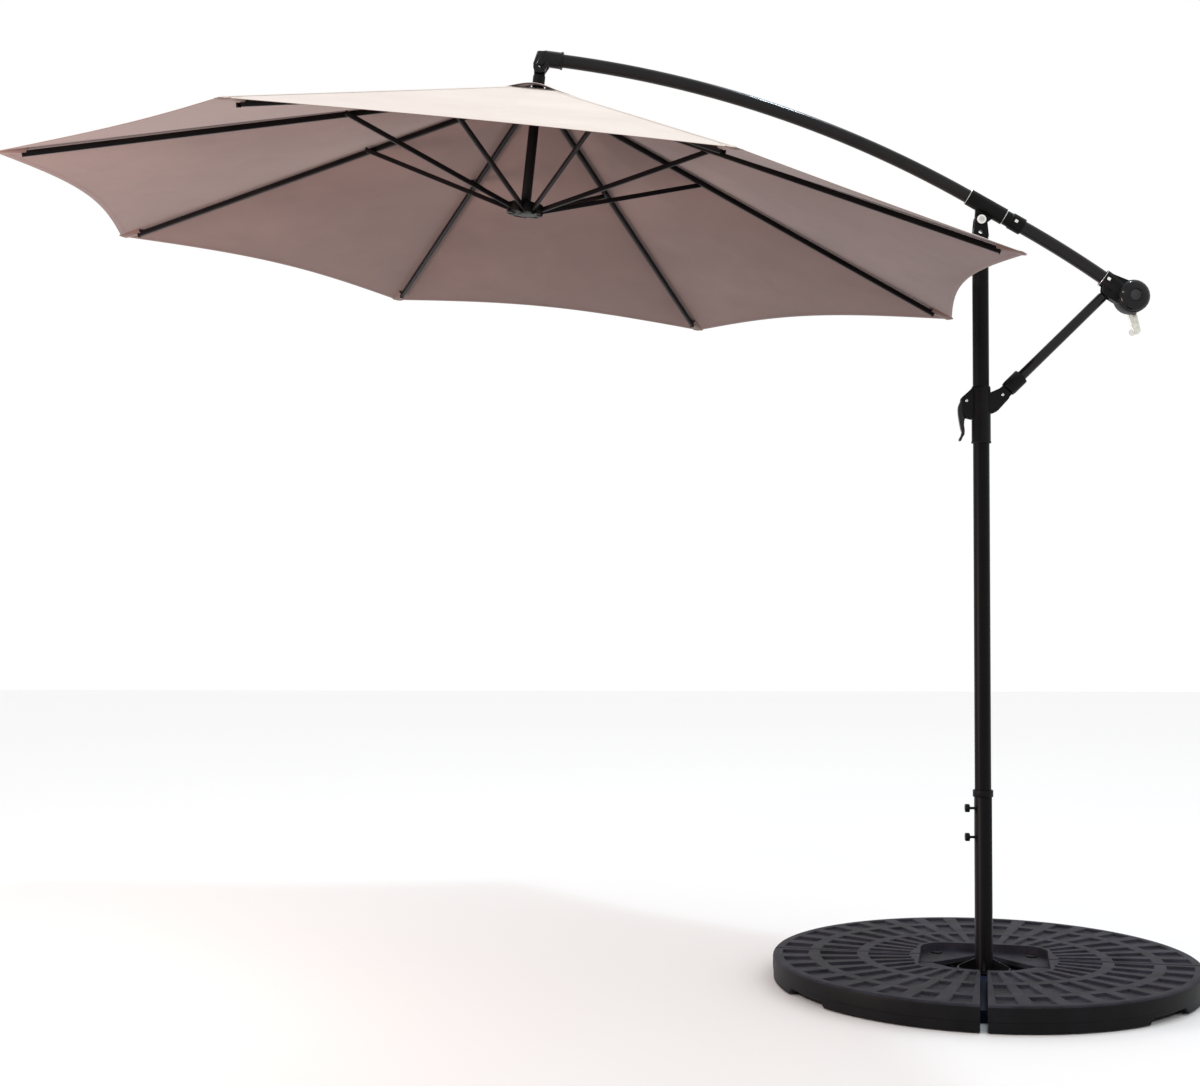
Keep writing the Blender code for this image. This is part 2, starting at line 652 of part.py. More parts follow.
def make_pivot_bolt():
    grip = LUG_HALF + SIDE_PLAY + FORK_WALL + TOUCH
    top = grip + BOLT_HEAD_HEIGHT
    edge = 0.0012
    half = [(0.0, top), (BOLT_HEAD_RADIUS - edge, top), (BOLT_HEAD_RADIUS, top - edge),
            (BOLT_HEAD_RADIUS, grip), (BOLT_RADIUS, grip)]
    profile = half + [(radius, -height) for radius, height in reversed(half)]
    bolt = turned_item("pivot_bolt", profile, ZINC, MEDIUM)
    place(bolt, PIVOT, Vector((0.0, -1.0, 0.0)))


# ---- arm ----
def bend_curve(name, knots, radius):
    """A tube along knots of (point, direction, handle length before, handle length after)."""
    curve = bpy.data.curves.new(name, "CURVE")
    curve.dimensions = "3D"
    curve.bevel_depth = radius
    curve.bevel_resolution = 3
    curve.resolution_u = 5
    curve.use_fill_caps = False
    spline = curve.splines.new("BEZIER")
    spline.bezier_points.add(len(knots) - 1)
    for knot, (point, heading, before, after) in zip(spline.bezier_points, knots):
        knot.handle_left_type = "FREE"
        knot.handle_right_type = "FREE"
        knot.co = point
        knot.handle_left = point - heading * before
        knot.handle_right = point + heading * after
    return add_item(name, curve)


def hollow(item, wall):
    shell = item.modifiers.new("wall", "SOLIDIFY")
    shell.thickness = wall
    shell.offset = -1.0
    shell.use_even_offset = True


def make_arm_tube():
    """Straight in the elbow and in the sleeve, with one long arc between them."""
    climb = -downhill(ELBOW_SLOPE)
    grip = SLEEVE_LENGTH / 2.0
    handle = arc_handle(SLEEVE_SLOPE, ELBOW_SLOPE, ARM_BEND_RADIUS)
    third = ELBOW_INSERT / 3.0
    inner_end = ELBOW_MOUTH + climb * ELBOW_INSERT
    knots = [(inner_end, -climb, third, third), (ELBOW_MOUTH, -climb, third, handle),
             (SLEEVE_UPPER, SLEEVE_DIR, handle, grip / 3.0),
             (SLEEVE_MID - SLEEVE_DIR * TOUCH, SLEEVE_DIR, grip / 3.0, grip / 3.0)]
    tube = bake(bend_curve("arm_tube", knots, TUBE_RADIUS))
    give_material(tube, STEEL_BLACK)
    hollow(tube, TUBE_WALL)


def make_tail_tube():
    straight = (COUPLER_END - SLEEVE_MID).length
    handle = arc_handle(SLEEVE_SLOPE, TAIL_SLOPE, TAIL_BEND_RADIUS)
    third = TAIL_INSERT / 3.0
    knots = [(SLEEVE_MID + SLEEVE_DIR * TOUCH, SLEEVE_DIR, straight / 3.0, straight / 3.0),
             (COUPLER_END, SLEEVE_DIR, straight / 3.0, handle), (TAIL_END, TAIL_DIR, handle, third),
             (TAIL_END + TAIL_DIR * TAIL_INSERT, TAIL_DIR, third, third)]
    tube = bake(bend_curve("tail_tube", knots, TUBE_RADIUS))
    give_material(tube, STEEL_BLACK)
    hollow(tube, TUBE_WALL)


def make_arm_sleeve():
    """The sleeve round the arm with the lug that hangs on the pivot bolt."""
    bore = TUBE_RADIUS + TOUCH
    outer = bore + SLEEVE_WALL
    half = SLEEVE_LENGTH / 2.0
    profile = [(0.0, half), (outer - 0.001, half), (outer, half - 0.001), (outer, 0.001 - half),
               (outer - 0.001, -half), (0.0, -half)]
    sleeve = turned_item("arm_sleeve", profile, PLASTIC_BLACK, FINE)
    place(sleeve, SLEEVE_MID, SLEEVE_DIR)
    sleeve = bake(sleeve)
    apply_place(sleeve)
    root = SLEEVE_MID - uphill_side(SLEEVE_SLOPE) * LUG_ROOT_DROP
    upper = root - SLEEVE_DIR * LUG_ROOT_UPHILL
    lower = root + SLEEVE_DIR * LUG_ROOT_DOWNHILL
    points = arc_points((PIVOT.x, PIVOT.z), LUG_RADIUS, 195.0 - SLEEVE_SLOPE, 345.0 - SLEEVE_SLOPE, 10)
    points += [(lower.x, lower.z), (upper.x, upper.z)]
    lug = outline_item("sleeve_lug", points, LUG_HALF, cutter=True)
    through = SLEEVE_DIR * SLEEVE_LENGTH
    bore_mesh = rod_mesh("sleeve_bore", bore, SLEEVE_MID - through, SLEEVE_MID + through, FINE)
    through_bore = add_item("sleeve_bore", bore_mesh, cutter=True)
    hole = axis_rod("sleeve_hole", BOLT_RADIUS + RUNNING, PIVOT, 0.050)
    join_to(sleeve, lug)
    cut_from(sleeve, through_bore, hole)


def make_arm_coupler():
    """A clamp ring with a square pad for the snap button."""
    bore = TUBE_RADIUS + TOUCH
    neck = bore + 0.0015
    head = TUBE_RADIUS + COUPLER_HEAD
    shoulder = 0.016
    profile = [(head - 0.001, COUPLER_LENGTH), (head, COUPLER_LENGTH - 0.001), (head, shoulder + 0.004),
               (neck, shoulder), (neck, 0.0), (bore, 0.0), (bore, COUPLER_LENGTH)]
    coupler = turned_item("arm_coupler", profile, PLASTIC_BLACK, FINE, closed=True)
    place(coupler, COUPLER_START, SLEEVE_DIR)
    coupler = bake(coupler)
    apply_place(coupler)
    middle = COUPLER_START + SLEEVE_DIR * (COUPLER_LENGTH + shoulder) / 2.0
    button_root = middle - Vector((0.0, head - 0.003, 0.0))
    button_tip = middle - Vector((0.0, head + BUTTON_HEIGHT, 0.0))
    button_mesh = rod_mesh("coupler_button", BUTTON_RADIUS, button_root, button_tip, COARSE)
    join_to(coupler, add_item("coupler_button", button_mesh, cutter=True))


# ---- winch ----
def make_crank_housing():
    """A drum open at the front, with two cheeks for the strut and a collar for the tail tube."""
    bore = TUBE_RADIUS + TOUCH
    collar = bore + HOUSING_COLLAR
    cup = HOUSING_RADIUS - HOUSING_WALL
    back = HOUSING_HALF
    front = -HOUSING_HALF
    drum = rod_mesh("crank_housing", HOUSING_RADIUS, Vector((WINCH.x, front, WINCH.z)),
                    Vector((WINCH.x, back, WINCH.z)), FINE)
    housing = add_item("crank_housing", drum, PLASTIC_BLACK)
    mouth = TAIL_END + TAIL_DIR * TOUCH
    throat = TAIL_END + TAIL_DIR * (TAIL_INSERT + TOUCH)
    collar_end = TAIL_END + TAIL_DIR * (DRUM_AHEAD - HOUSING_RADIUS * 0.5)
    collar_rod = add_item("housing_collar", rod_mesh("housing_collar", collar, mouth, collar_end, FINE),
                          cutter=True)
    inside = TANG_HALF + SIDE_PLAY
    cheek_half = inside + CHEEK_WALL
    shoulder = TAIL_END + TAIL_DIR * TAIL_INSERT
    axis = Vector((WINCH.x, 0.0, WINCH.z))
    discs = ((shoulder, collar * 0.9), (STRUT_PIN, CHEEK_RADIUS), (axis, HOUSING_RADIUS * 0.82))
    join_to(housing, collar_rod, shield("housing_web", discs, cheek_half))
    bore_mesh = rod_mesh("housing_bore", bore, TAIL_END - TAIL_DIR * 0.050, throat, FINE)
    tail_bore = add_item("housing_bore", bore_mesh, cutter=True)
    hang = STRUT_PIN - STRUT_DIR * 0.060
    level = STRUT_PIN + Vector((-cos(radians(STRUT_LIFT)), 0.0, sin(radians(STRUT_LIFT)))) * 0.060
    swing = [(spot, STRUT_SWEEP) for spot in (STRUT_PIN, hang, level)]
    slot = shield("housing_slot", swing, inside)
    cavity_mesh = rod_mesh("housing_cavity", cup, Vector((WINCH.x, front - 0.010, WINCH.z)),
                           Vector((WINCH.x, back - HOUSING_WALL, WINCH.z)), FINE)
    cavity = add_item("housing_cavity", cavity_mesh, cutter=True)
    axle = axis_rod("housing_axle", AXLE_RADIUS + RUNNING, WINCH, 0.030, COARSE, middle=back)
    pin_hole = axis_rod("housing_pin_hole", PIN_RADIUS, STRUT_PIN, 0.060, COARSE)
    cut_from(housing, slot, tail_bore, cavity, axle, pin_hole)


def make_housing_cover():
    """A domed lid with a round dish in its middle, facing -Y."""
    radius = HOUSING_RADIUS - 0.0015
    seat = HOUSING_HALF + TOUCH
    top = seat + COVER_HEIGHT
    dome = [(radius * cos(angle), seat + COVER_HEIGHT * sin(angle)) for angle in
            [pi / 2.0 * step / 5.0 for step in range(4, -1, -1)]]
    ring = COVER_RING
    dish = 0.003
    profile = [(0.0, top - dish), (ring - 0.003, top - dish), (ring - 0.002, top), (ring, top)]
    profile += [point for point in dome if point[0] > ring] + [(0.0, seat)]
    cover = turned_item("housing_cover", profile, PLASTIC_BLACK, FINE)
    place(cover, WINCH, Vector((0.0, -1.0, 0.0)))


def make_winch_drum():
    """Spool and axle, turned in one piece; the axle leaves through the back of the housing."""
    rim = HOUSING_RADIUS - HOUSING_WALL - 0.003
    front = HOUSING_HALF - 0.003
    back = HOUSING_HALF - HOUSING_WALL - 0.002
    flange = 0.003
    end = HOUSING_HALF + 0.004
    profile = [(0.0, front), (rim, front), (rim, front - flange), (SPOOL_RADIUS, front - flange),
               (SPOOL_RADIUS, flange - back), (rim, flange - back), (rim, -back), (AXLE_RADIUS, -back),
               (AXLE_RADIUS, -end), (0.0, -end)]
    drum = turned_item("winch_drum", profile, ZINC, MEDIUM)
    place(drum, WINCH, Vector((0.0, -1.0, 0.0)))


def make_crank():
    """A flat crank on the back of the housing with a round grip at its end."""
    lean = radians(CRANK_LEAN)
    tip = WINCH + Vector((sin(lean), 0.0, -cos(lean))) * (CRANK_REACH - CRANK_WIDTH / 2.0)
    near = HOUSING_HALF + 0.004 + TOUCH
    arm = tapered_link("crank_arm", WINCH, 0.0150, tip, CRANK_WIDTH / 2.0, CRANK_THICKNESS / 2.0,
                       cutter=False)
    give_material(arm, ZINC)
    arm.data.transform(arm.matrix_world)
    arm.data.transform(Matrix.Translation((-WINCH.x, 0.0, -WINCH.z)))
    arm.matrix_world = Matrix.Translation((WINCH.x, near + CRANK_THICKNESS / 2.0, WINCH.z))
    start = near + CRANK_THICKNESS + TOUCH
    crown = 0.003
    profile = [(0.0, start + GRIP_LENGTH), (GRIP_RADIUS - crown, start + GRIP_LENGTH),
               (GRIP_RADIUS, start + GRIP_LENGTH - crown), (GRIP_RADIUS * 0.9, start), (0.0, start)]
    grip = turned_item("crank_grip", profile, PLASTIC_BLACK, COARSE)
    place(grip, Vector((tip.x, 0.0, tip.z)), Vector((0.0, 1.0, 0.0)))


# ---- strut and slider ----
def make_strut():
    """A tube with a solid tang at the winch end."""
    near = 0.034
    far = STRUT_LENGTH - 0.022
    inner = STRUT_RADIUS - STRUT_WALL
    profile = tube_profile(STRUT_RADIUS, inner, near, far)
    strut = turned_item("strut_tube", profile, STEEL_BLACK, MEDIUM, closed=True)
    place(strut, SLIDER_PIN, STRUT_DIR)
    strut = bake(strut)
    apply_place(strut)
    tang = tapered_link("strut_tang", STRUT_PIN - STRUT_DIR * 0.034, STRUT_RADIUS * 0.88, STRUT_PIN, 0.0105,
                        TANG_HALF)
    hole = axis_rod("strut_hole", PIN_RADIUS, STRUT_PIN, 0.050, COARSE)
    join_to(strut, tang)
    cut_from(strut, hole)


def make_strut_socket():
    """The lower end fitting: a socket for the strut and a blade between the slider's ears."""
    bore = STRUT_RADIUS + TOUCH
    floor = 0.034 - TOUCH
    root = SOCKET_ROOT_RADIUS
    edge = 0.001
    profile = [(0.0, SOCKET_LENGTH), (SOCKET_RADIUS - edge, SOCKET_LENGTH),
               (SOCKET_RADIUS, SOCKET_LENGTH - edge), (SOCKET_RADIUS, 0.034), (root, 0.0235), (0.0, 0.0235)]
    socket = turned_item("strut_socket", profile, PLASTIC_BLACK, MEDIUM)
    place(socket, SLIDER_PIN, STRUT_DIR)
    socket = bake(socket)
    apply_place(socket)
    blade = tapered_link("socket_blade", SLIDER_PIN + STRUT_DIR * 0.0275, root * 0.80, SLIDER_PIN,
                         EAR_RADIUS * 0.92, TANG_HALF)
    bore_mesh = rod_mesh("socket_bore", bore, SLIDER_PIN + STRUT_DIR * floor,
                         SLIDER_PIN + STRUT_DIR * SOCKET_LENGTH * 1.5, MEDIUM)
    strut_bore = add_item("socket_bore", bore_mesh, cutter=True)
    hole = axis_rod("socket_hole", PIN_RADIUS, SLIDER_PIN, 0.050, COARSE)
    join_to(socket, blade)
    cut_from(socket, strut_bore, hole)


def lever_point(out, down):
    """A point beside the lever's pin, in shares of the lever's length."""
    return (LEVER_PIN.x - out * LEVER_LENGTH, LEVER_PIN.z - down * LEVER_LENGTH)


def lever_outline():
    """The hook lever, from its round top down the outer edge to the out-curled tip and back."""
    points = arc_points((LEVER_PIN.x, LEVER_PIN.z), LEVER_TOP_RADIUS, -20.0, 150.0, 8)
    outer = [(0.150, 0.03), (0.190, 0.12), (0.205, 0.21), (0.198, 0.34), (0.172, 0.52), (0.140, 0.69),
             (0.112, 0.775), (0.135, 0.86), (0.185, 0.945)]
    tip = [(0.180, 0.985), (0.150, 0.995), (0.122, 0.960)]
    inner = [(0.092, 0.89), (0.050, 0.83), (0.042, 0.72), (0.058, 0.60), (0.052, 0.49), (0.020, 0.41),
             (-0.030, 0.30)]
    points += [lever_point(out, down) for out, down in outer + tip + inner]
    return points


def make_slider():
    """The sleeve on the pole, with ears for the strut and a box for the lever."""
    bore = POLE_RADIUS + RUNNING
    outer = bore + SLIDER_WALL
    top = SLIDER_PIN.z + SLIDER_ABOVE
    bottom = SLIDER_PIN.z - SLIDER_BELOW
    lip = 0.0012
    profile = [(0.0, top), (outer - 0.0015, top), (outer, top - 0.006), (outer, bottom + 0.008),
               (outer + lip, bottom + 0.004), (outer + lip, bottom), (0.0, bottom)]
    sleeve = bake(turned_item("slider_sleeve", profile, PLASTIC_BLACK, FINE))
    inside = TANG_HALF + SIDE_PLAY
    ear_root = Vector((bore + 0.002, 0.0, SLIDER_PIN.z - EAR_ROOT_DROP))
    ears = tapered_link("slider_ears", ear_root, EAR_ROOT_RADIUS, SLIDER_PIN, EAR_RADIUS, inside + EAR_WALL)
    ear_slot = side_box("ear_slot", (0.120, 2.0 * inside, 0.200), (outer + 0.061, 0.0, SLIDER_PIN.z))
    core_mesh = rod_mesh("slider_core", bore, Vector((0.0, 0.0, bottom - 0.050)),
                         Vector((0.0, 0.0, top + 0.050)), FINE)
    core = add_item("slider_core", core_mesh, cutter=True)
    ear_hole = axis_rod("ear_hole", PIN_RADIUS, SLIDER_PIN, 0.050, COARSE)
    lever_inside = LEVER_HALF + SIDE_PLAY
    box_points = [(-bore, top - 0.003)]
    box_points += [lever_point(out, down) for out, down in ((-0.050, -0.22), (0.060, -0.125))]
    box_points += arc_points((LEVER_PIN.x, LEVER_PIN.z), 0.0160, 145.0, 200.0, 4)
    box_points += [lever_point(0.090, 0.28), lever_point(0.015, 0.42), (-bore, LEVER_PIN.z - 0.056)]
    lever_box = outline_item("lever_box", box_points, lever_inside + LEVER_BOX_WALL, cutter=True)
    lever_slot = side_box("lever_slot", (0.120, 2.0 * lever_inside, 0.160),
                          (-outer - 0.001 - 0.060, 0.0, LEVER_PIN.z - 0.010))
    cut_from(ears, ear_slot)
    cut_from(lever_box, lever_slot)
    join_to(sleeve, ears, lever_box)
    cut_from(sleeve, core, ear_hole)
    lever = outline_item("slider_lever", lever_outline(), LEVER_HALF, STEEL_BLACK)
    apply_place(lever)
    lever.data.transform(Matrix.Translation(-LEVER_PIN))
    lever.location = LEVER_PIN


# ---- elbow and hanger ----
def make_elbow():
    """The elbow grips the arm's end and turns down into the fork that the canopy hangs from."""
    climb = -downhill(ELBOW_SLOPE)
    bore = TUBE_RADIUS + TOUCH
    outer = bore + ELBOW_WALL
    back = ELBOW_MOUTH + climb * ELBOW_INSERT
    elbow_mesh = rod_mesh("elbow_socket", outer, ELBOW_MOUTH, back + climb * 0.022, FINE)
    elbow = add_item("elbow_socket", elbow_mesh, PLASTIC_BLACK)
    ring_end = ELBOW_MOUTH + climb * ELBOW_COLLAR
    ring_mesh = rod_mesh("elbow_ring", outer + 0.0020, ELBOW_MOUTH, ring_end, FINE)
    ring = add_item("elbow_ring", ring_mesh, cutter=True)
    crown = back + climb * 0.020
    inside = NECK_BLADE_HALF + SIDE_PLAY
    outside = inside + 0.0095
    shoulder_mesh = rod_mesh("elbow_shoulder", outer * 0.96, crown + Vector((0.0, 0.0, outer * 0.60)),
                             HANGER_PIN + CANOPY_AXIS * 0.004, FINE)
    shoulder = add_item("elbow_shoulder", shoulder_mesh, cutter=True)
    cheeks = tapered_link("elbow_cheeks", crown + Vector((-0.002, 0.0, -0.004)), 0.0230, HANGER_PIN,
                          KNUCKLE_RADIUS, outside)
    slot = tapered_link("elbow_slot", HANGER_PIN, KNUCKLE_RADIUS + 0.0015, HANGER_PIN - CANOPY_AXIS * 0.060,
                        0.060, inside)
    bore_mesh = rod_mesh("elbow_bore", bore, ELBOW_MOUTH - climb * 0.020, back + climb * TOUCH, FINE)
    bore_rod = add_item("elbow_bore", bore_mesh, cutter=True)
    hole = axis_rod("elbow_hole", PIN_RADIUS, HANGER_PIN, 0.050, COARSE)
    join_to(elbow, ring, shoulder, cheeks)
    cut_from(elbow, slot, bore_rod, hole)


def canopy_frame():
    frame = bpy.data.objects.new("canopy_frame", None)
    PARTS.objects.link(frame)
    frame.matrix_world = Matrix.Translation(PEAK) @ Matrix.Rotation(TILT, 4, "Y")
    return frame


def under(item, parent, local):
    item.parent = parent
    item.matrix_parent_inverse = Matrix.Identity(4)
    item.matrix_basis = local


def make_hanger(frame):
    """The neck hangs on the knuckle pin and carries the crown hub."""
    blade_top = PEAK_BELOW_PIN
    shank_top = blade_top - KNUCKLE_RADIUS - 0.0020
    shank_bottom = -NECK_END
    profile = [(0.0, shank_top), (NECK_RADIUS - 0.003, shank_top), (NECK_RADIUS, shank_top - 0.003),
               (NECK_RADIUS, shank_bottom), (0.0, shank_bottom)]
    neck = bake(turned_item("hanger_neck", profile, PLASTIC_BLACK, MEDIUM))
    pin = Vector((0.0, 0.0, blade_top))
    shank = Vector((0.0, 0.0, shank_top - 0.006))
    blade = tapered_link("neck_blade", shank, 0.0150, pin, KNUCKLE_RADIUS * 0.90, NECK_BLADE_HALF)
    hole = axis_rod("neck_hole", PIN_RADIUS, pin, 0.050, COARSE)
    for piece in (blade, hole):
        under(piece, frame, piece.matrix_world.copy())
    under(neck, frame, Matrix.Identity(4))
    join_to(neck, blade)
    cut_from(neck, hole)


def slotted_hub(name, radius, core, half, slot_width, slot_offset, finish):
    """A hub with one open slot for each rib or stretcher."""
    profile = [(0.0, half), (radius - 0.002, half), (radius, half - 0.002), (radius, 0.002 - half),
               (radius - 0.002, -half), (0.0, -half)]
    hub = bake(turned_item(name, profile, finish, FINE))
    length = radius + 0.020
    slots = []
    for index in range(RIB_COUNT):
        mesh = box_mesh(f"{name}_slot_{index}", (length, slot_width, 4.0 * half),
                        (core + length / 2.0, slot_offset, 0.0))
        slot = add_item(f"{name}_slot_{index}", mesh, cutter=True)
        slot.matrix_world = Matrix.Rotation(rib_heading(index), 4, "Z")
        slots.append(slot)
    return hub, slots


def rib_heading(index):
    return (index + 0.5) * 2.0 * pi / RIB_COUNT


def make_crown_hub(frame):
    slot_width = RIB_WIDTH + 2.0 * SIDE_PLAY
    hub, slots = slotted_hub("crown_hub", HUB_RADIUS, HUB_CORE + 0.004, HUB_HALF, slot_width, 0.0,
                             PLASTIC_BLACK)
    top = -HUB_PIVOT_Z - NECK_END - TOUCH
    bottom = CROWN_BOTTOM + HUB_PIVOT_Z
    core = add_item("crown_core", rod_mesh("crown_core", HUB_CORE, Vector((0.0, 0.0, -bottom)),
                                           Vector((0.0, 0.0, top)), FINE), cutter=True)
    for piece in [core] + slots:
        under(piece, frame, Matrix.Translation((0.0, 0.0, HUB_PIVOT_Z)) @ piece.matrix_world.copy())
    under(hub, frame, Matrix.Translation((0.0, 0.0, HUB_PIVOT_Z)))
    cut_from(hub, *slots)
    join_to(hub, core)


def make_vent_cap(frame):
    """A small cone of fabric over the hole at the canopy's top."""
    inner = NECK_RADIUS + VENT_GAP
    top_in = -0.004 - VENT_SLOPE * inner
    top_out = -0.004 - VENT_SLOPE * VENT_RADIUS
    profile = [(inner, top_in), (VENT_RADIUS, top_out), (VENT_RADIUS, top_out - FABRIC),
               (inner, top_in - FABRIC)]
    vent = turned_item("vent_cap", profile, CANOPY_FABRIC, FINE, closed=True)
    under(vent, frame, Matrix.Identity(4))


def make_runner(frame):
    """The runner hub carries the stretchers; the centre tube stands on it and meets the crown hub."""
    slot_width = STRETCHER_WIDTH + 2.0 * SIDE_PLAY
    hub, slots = slotted_hub("runner_hub", RUNNER_RADIUS, RUNNER_CORE + 0.004, RUNNER_HALF, slot_width,
                             STRETCHER_OFFSET, PLASTIC_BLACK)
    for piece in slots:
        under(piece, frame, Matrix.Translation((0.0, 0.0, -RUNNER_DROP)) @ piece.matrix_world.copy())
    under(hub, frame, Matrix.Translation((0.0, 0.0, -RUNNER_DROP)))
    cut_from(hub, *slots)
    low = RUNNER_HALF + TOUCH
    high = RUNNER_DROP - CROWN_BOTTOM - TOUCH
    profile = tube_profile(CENTRE_TUBE_RADIUS, CENTRE_TUBE_RADIUS - CENTRE_TUBE_WALL, low, high)
    tube = turned_item("centre_tube", profile, STEEL_BLACK, MEDIUM, closed=True)
    under(tube, frame, Matrix.Translation((0.0, 0.0, -RUNNER_DROP)))


def box_tube(name, length, width, height, wall, start, finish):
    """A square tube along +X from start to start + length, open at its ends."""
    bm = bmesh.new()
    centre = Matrix.Translation((start + length / 2.0, 0.0, 0.0))
    bmesh.ops.create_cube(bm, size=1.0, matrix=centre @ Matrix.Diagonal((length, width, height, 1.0)))
    ends = [face for face in bm.faces if abs(face.normal.x) > 0.9]
    bmesh.ops.delete(bm, geom=ends, context="FACES")
    item = add_item(name, mesh_from(bm, name), finish)
    hollow(item, wall)
    return item


def make_rib(frame, index):
    """The rib's own frame starts at its pin in the crown hub."""
    reach = (CANOPY_RADIUS - RIB_END_SHORT - HUB_PIVOT_RADIUS) / cos(RIB_SLOPE)
    inner_end = -0.008
    rib = box_tube(f"rib_{index + 1}", reach - inner_end, RIB_WIDTH, RIB_HEIGHT, RIB_WALL, inner_end,
                   STEEL_BLACK)
    heading = Matrix.Rotation(rib_heading(index), 4, "Z")
    pin = Matrix.Translation((HUB_PIVOT_RADIUS, 0.0, HUB_PIVOT_Z))
    under(rib, frame, heading @ pin @ Matrix.Rotation(RIB_SLOPE, 4, "Y"))


def make_stretcher(frame, index):
    """The stretcher runs beside its rib, from the runner hub up to the rib's pin."""
    tail = 0.007
    name = f"stretcher_{index + 1}"
    bar = box_tube(name, STRETCHER_LENGTH + 2.0 * tail, STRETCHER_WIDTH, STRETCHER_HEIGHT, RIB_WALL, -tail,
                   STEEL_BLACK)
    heading = Matrix.Rotation(rib_heading(index), 4, "Z")
    pin = Matrix.Translation((RUNNER_PIVOT_RADIUS, STRETCHER_OFFSET, -RUNNER_DROP))
    under(bar, frame, heading @ pin @ Matrix.Rotation(-STRETCHER_SLOPE, 4, "Y"))


def fabric_point(share_out, share_across):
    """A point of the fabric: share_out 0..1 to the hem, share_across -1..1 to the next panels."""
    edge_gap = TOUCH / 2.0
    angle = share_across * HALF_PANEL
    from_middle = HALF_PANEL - abs(angle)
    chord = CANOPY_RADIUS * cos(HALF_PANEL) / cos(from_middle)
    hem = chord - HEM_CURVE * (1.0 - (from_middle / HALF_PANEL) ** 2)
    hole = TOP_HOLE * cos(HALF_PANEL) / cos(from_middle)
    radius = hole + (hem - hole) * share_out
    x = radius * cos(angle)
    y = radius * sin(angle)
    if abs(share_across) > 0.999:
        shift = -edge_gap if share_across > 0.0 else edge_gap
        x += abs(shift) * sin(HALF_PANEL)
        y += shift * cos(HALF_PANEL)
    return Vector((x, y, -PANEL_FALL * radius * cos(from_middle)))


def make_canopy_sector(frame, index):
    """The fabric over one rib, out to the middles of the panels on its two sides."""
    across = 8
    out = 3
    bm = bmesh.new()
    bmesh.ops.create_grid(bm, x_segments=out, y_segments=across, size=1.0)
    for vert in bm.verts:
        vert.co = fabric_point((vert.co.x + 1.0) / 2.0, vert.co.y)
    sector = add_item(f"canopy_{index + 1}", mesh_from(bm, "canopy"), CANOPY_FABRIC)
    shell = sector.modifiers.new("cloth", "SOLIDIFY")
    shell.thickness = FABRIC
    shell.offset = -1.0
    under(sector, frame, Matrix.Rotation(rib_heading(index), 4, "Z"))


def make_canopy():
    frame = canopy_frame()
    make_hanger(frame)
    make_crown_hub(frame)
    make_vent_cap(frame)
    make_runner(frame)
    for index in range(RIB_COUNT):
        make_rib(frame, index)
        make_stretcher(frame, index)
        make_canopy_sector(frame, index)


def main():
    make_cross_bars()
    make_base_post()
    make_base_plates()
    make_thumbscrew("thumbscrew_upper", SCREW_HEIGHTS[0])
    make_thumbscrew("thumbscrew_lower", SCREW_HEIGHTS[1])
    make_mast()
    make_arm_tube()
    make_arm_sleeve()
    make_arm_coupler()
    make_tail_tube()
    make_crank_housing()
    make_housing_cover()
    make_winch_drum()
    make_crank()
    make_strut()
    make_strut_socket()
    make_slider()
    make_elbow()
    make_canopy()


main()
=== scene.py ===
import json
from math import atan, atan2, cos, pi, radians, sin, sqrt

import bmesh
import bpy
from mathutils import Matrix, Vector


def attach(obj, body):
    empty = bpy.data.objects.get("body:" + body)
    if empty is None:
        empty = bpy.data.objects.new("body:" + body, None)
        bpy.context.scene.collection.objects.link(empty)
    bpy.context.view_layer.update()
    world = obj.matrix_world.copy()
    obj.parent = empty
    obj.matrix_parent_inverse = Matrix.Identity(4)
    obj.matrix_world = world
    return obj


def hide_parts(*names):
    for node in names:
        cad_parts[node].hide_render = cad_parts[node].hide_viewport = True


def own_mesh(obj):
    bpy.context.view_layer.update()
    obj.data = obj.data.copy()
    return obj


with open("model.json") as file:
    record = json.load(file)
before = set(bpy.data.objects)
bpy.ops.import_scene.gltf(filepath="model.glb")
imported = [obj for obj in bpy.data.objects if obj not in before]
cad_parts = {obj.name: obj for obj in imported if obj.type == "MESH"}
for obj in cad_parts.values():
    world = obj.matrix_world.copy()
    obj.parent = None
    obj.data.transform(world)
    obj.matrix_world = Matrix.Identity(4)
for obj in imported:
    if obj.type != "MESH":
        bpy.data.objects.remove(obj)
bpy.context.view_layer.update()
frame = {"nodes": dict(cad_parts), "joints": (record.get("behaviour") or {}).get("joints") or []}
nodes = frame["nodes"]
pins = {joint["name"]: Vector(joint["pos_m"]) for joint in frame["joints"] if "pos_m" in joint}
print("frame loaded:", len(nodes), "nodes")

# everything is in metres, +Z up; the pole stands on the origin and the canopy hangs over -X


def linear(hexColour):
    # sRGB hex to the linear values that shaders take
    channels = [int(hexColour[start:start + 2], 16) / 255 for start in (1, 3, 5)]
    return tuple(c / 12.92 if c <= 0.04045 else ((c + 0.055) / 1.055) ** 2.4 for c in channels) + (1.0,)


def addNode(tree, kind, settings=None, links=None):
    node = tree.nodes.new(kind)
    for key, value in (settings or {}).items():
        if isinstance(key, str) and hasattr(node, key):
            setattr(node, key, value)
        else:
            node.inputs[key].default_value = value
    for key, source in (links or {}).items():
        tree.links.new(source, node.inputs[key])
    return node


def newMaterial(name, settings):
    material = bpy.data.materials.new(name)
    material.use_nodes = True
    shader = material.node_tree.nodes["Principled BSDF"]
    for key, value in settings.items():
        shader.inputs[key].default_value = value
    return material, material.node_tree, shader


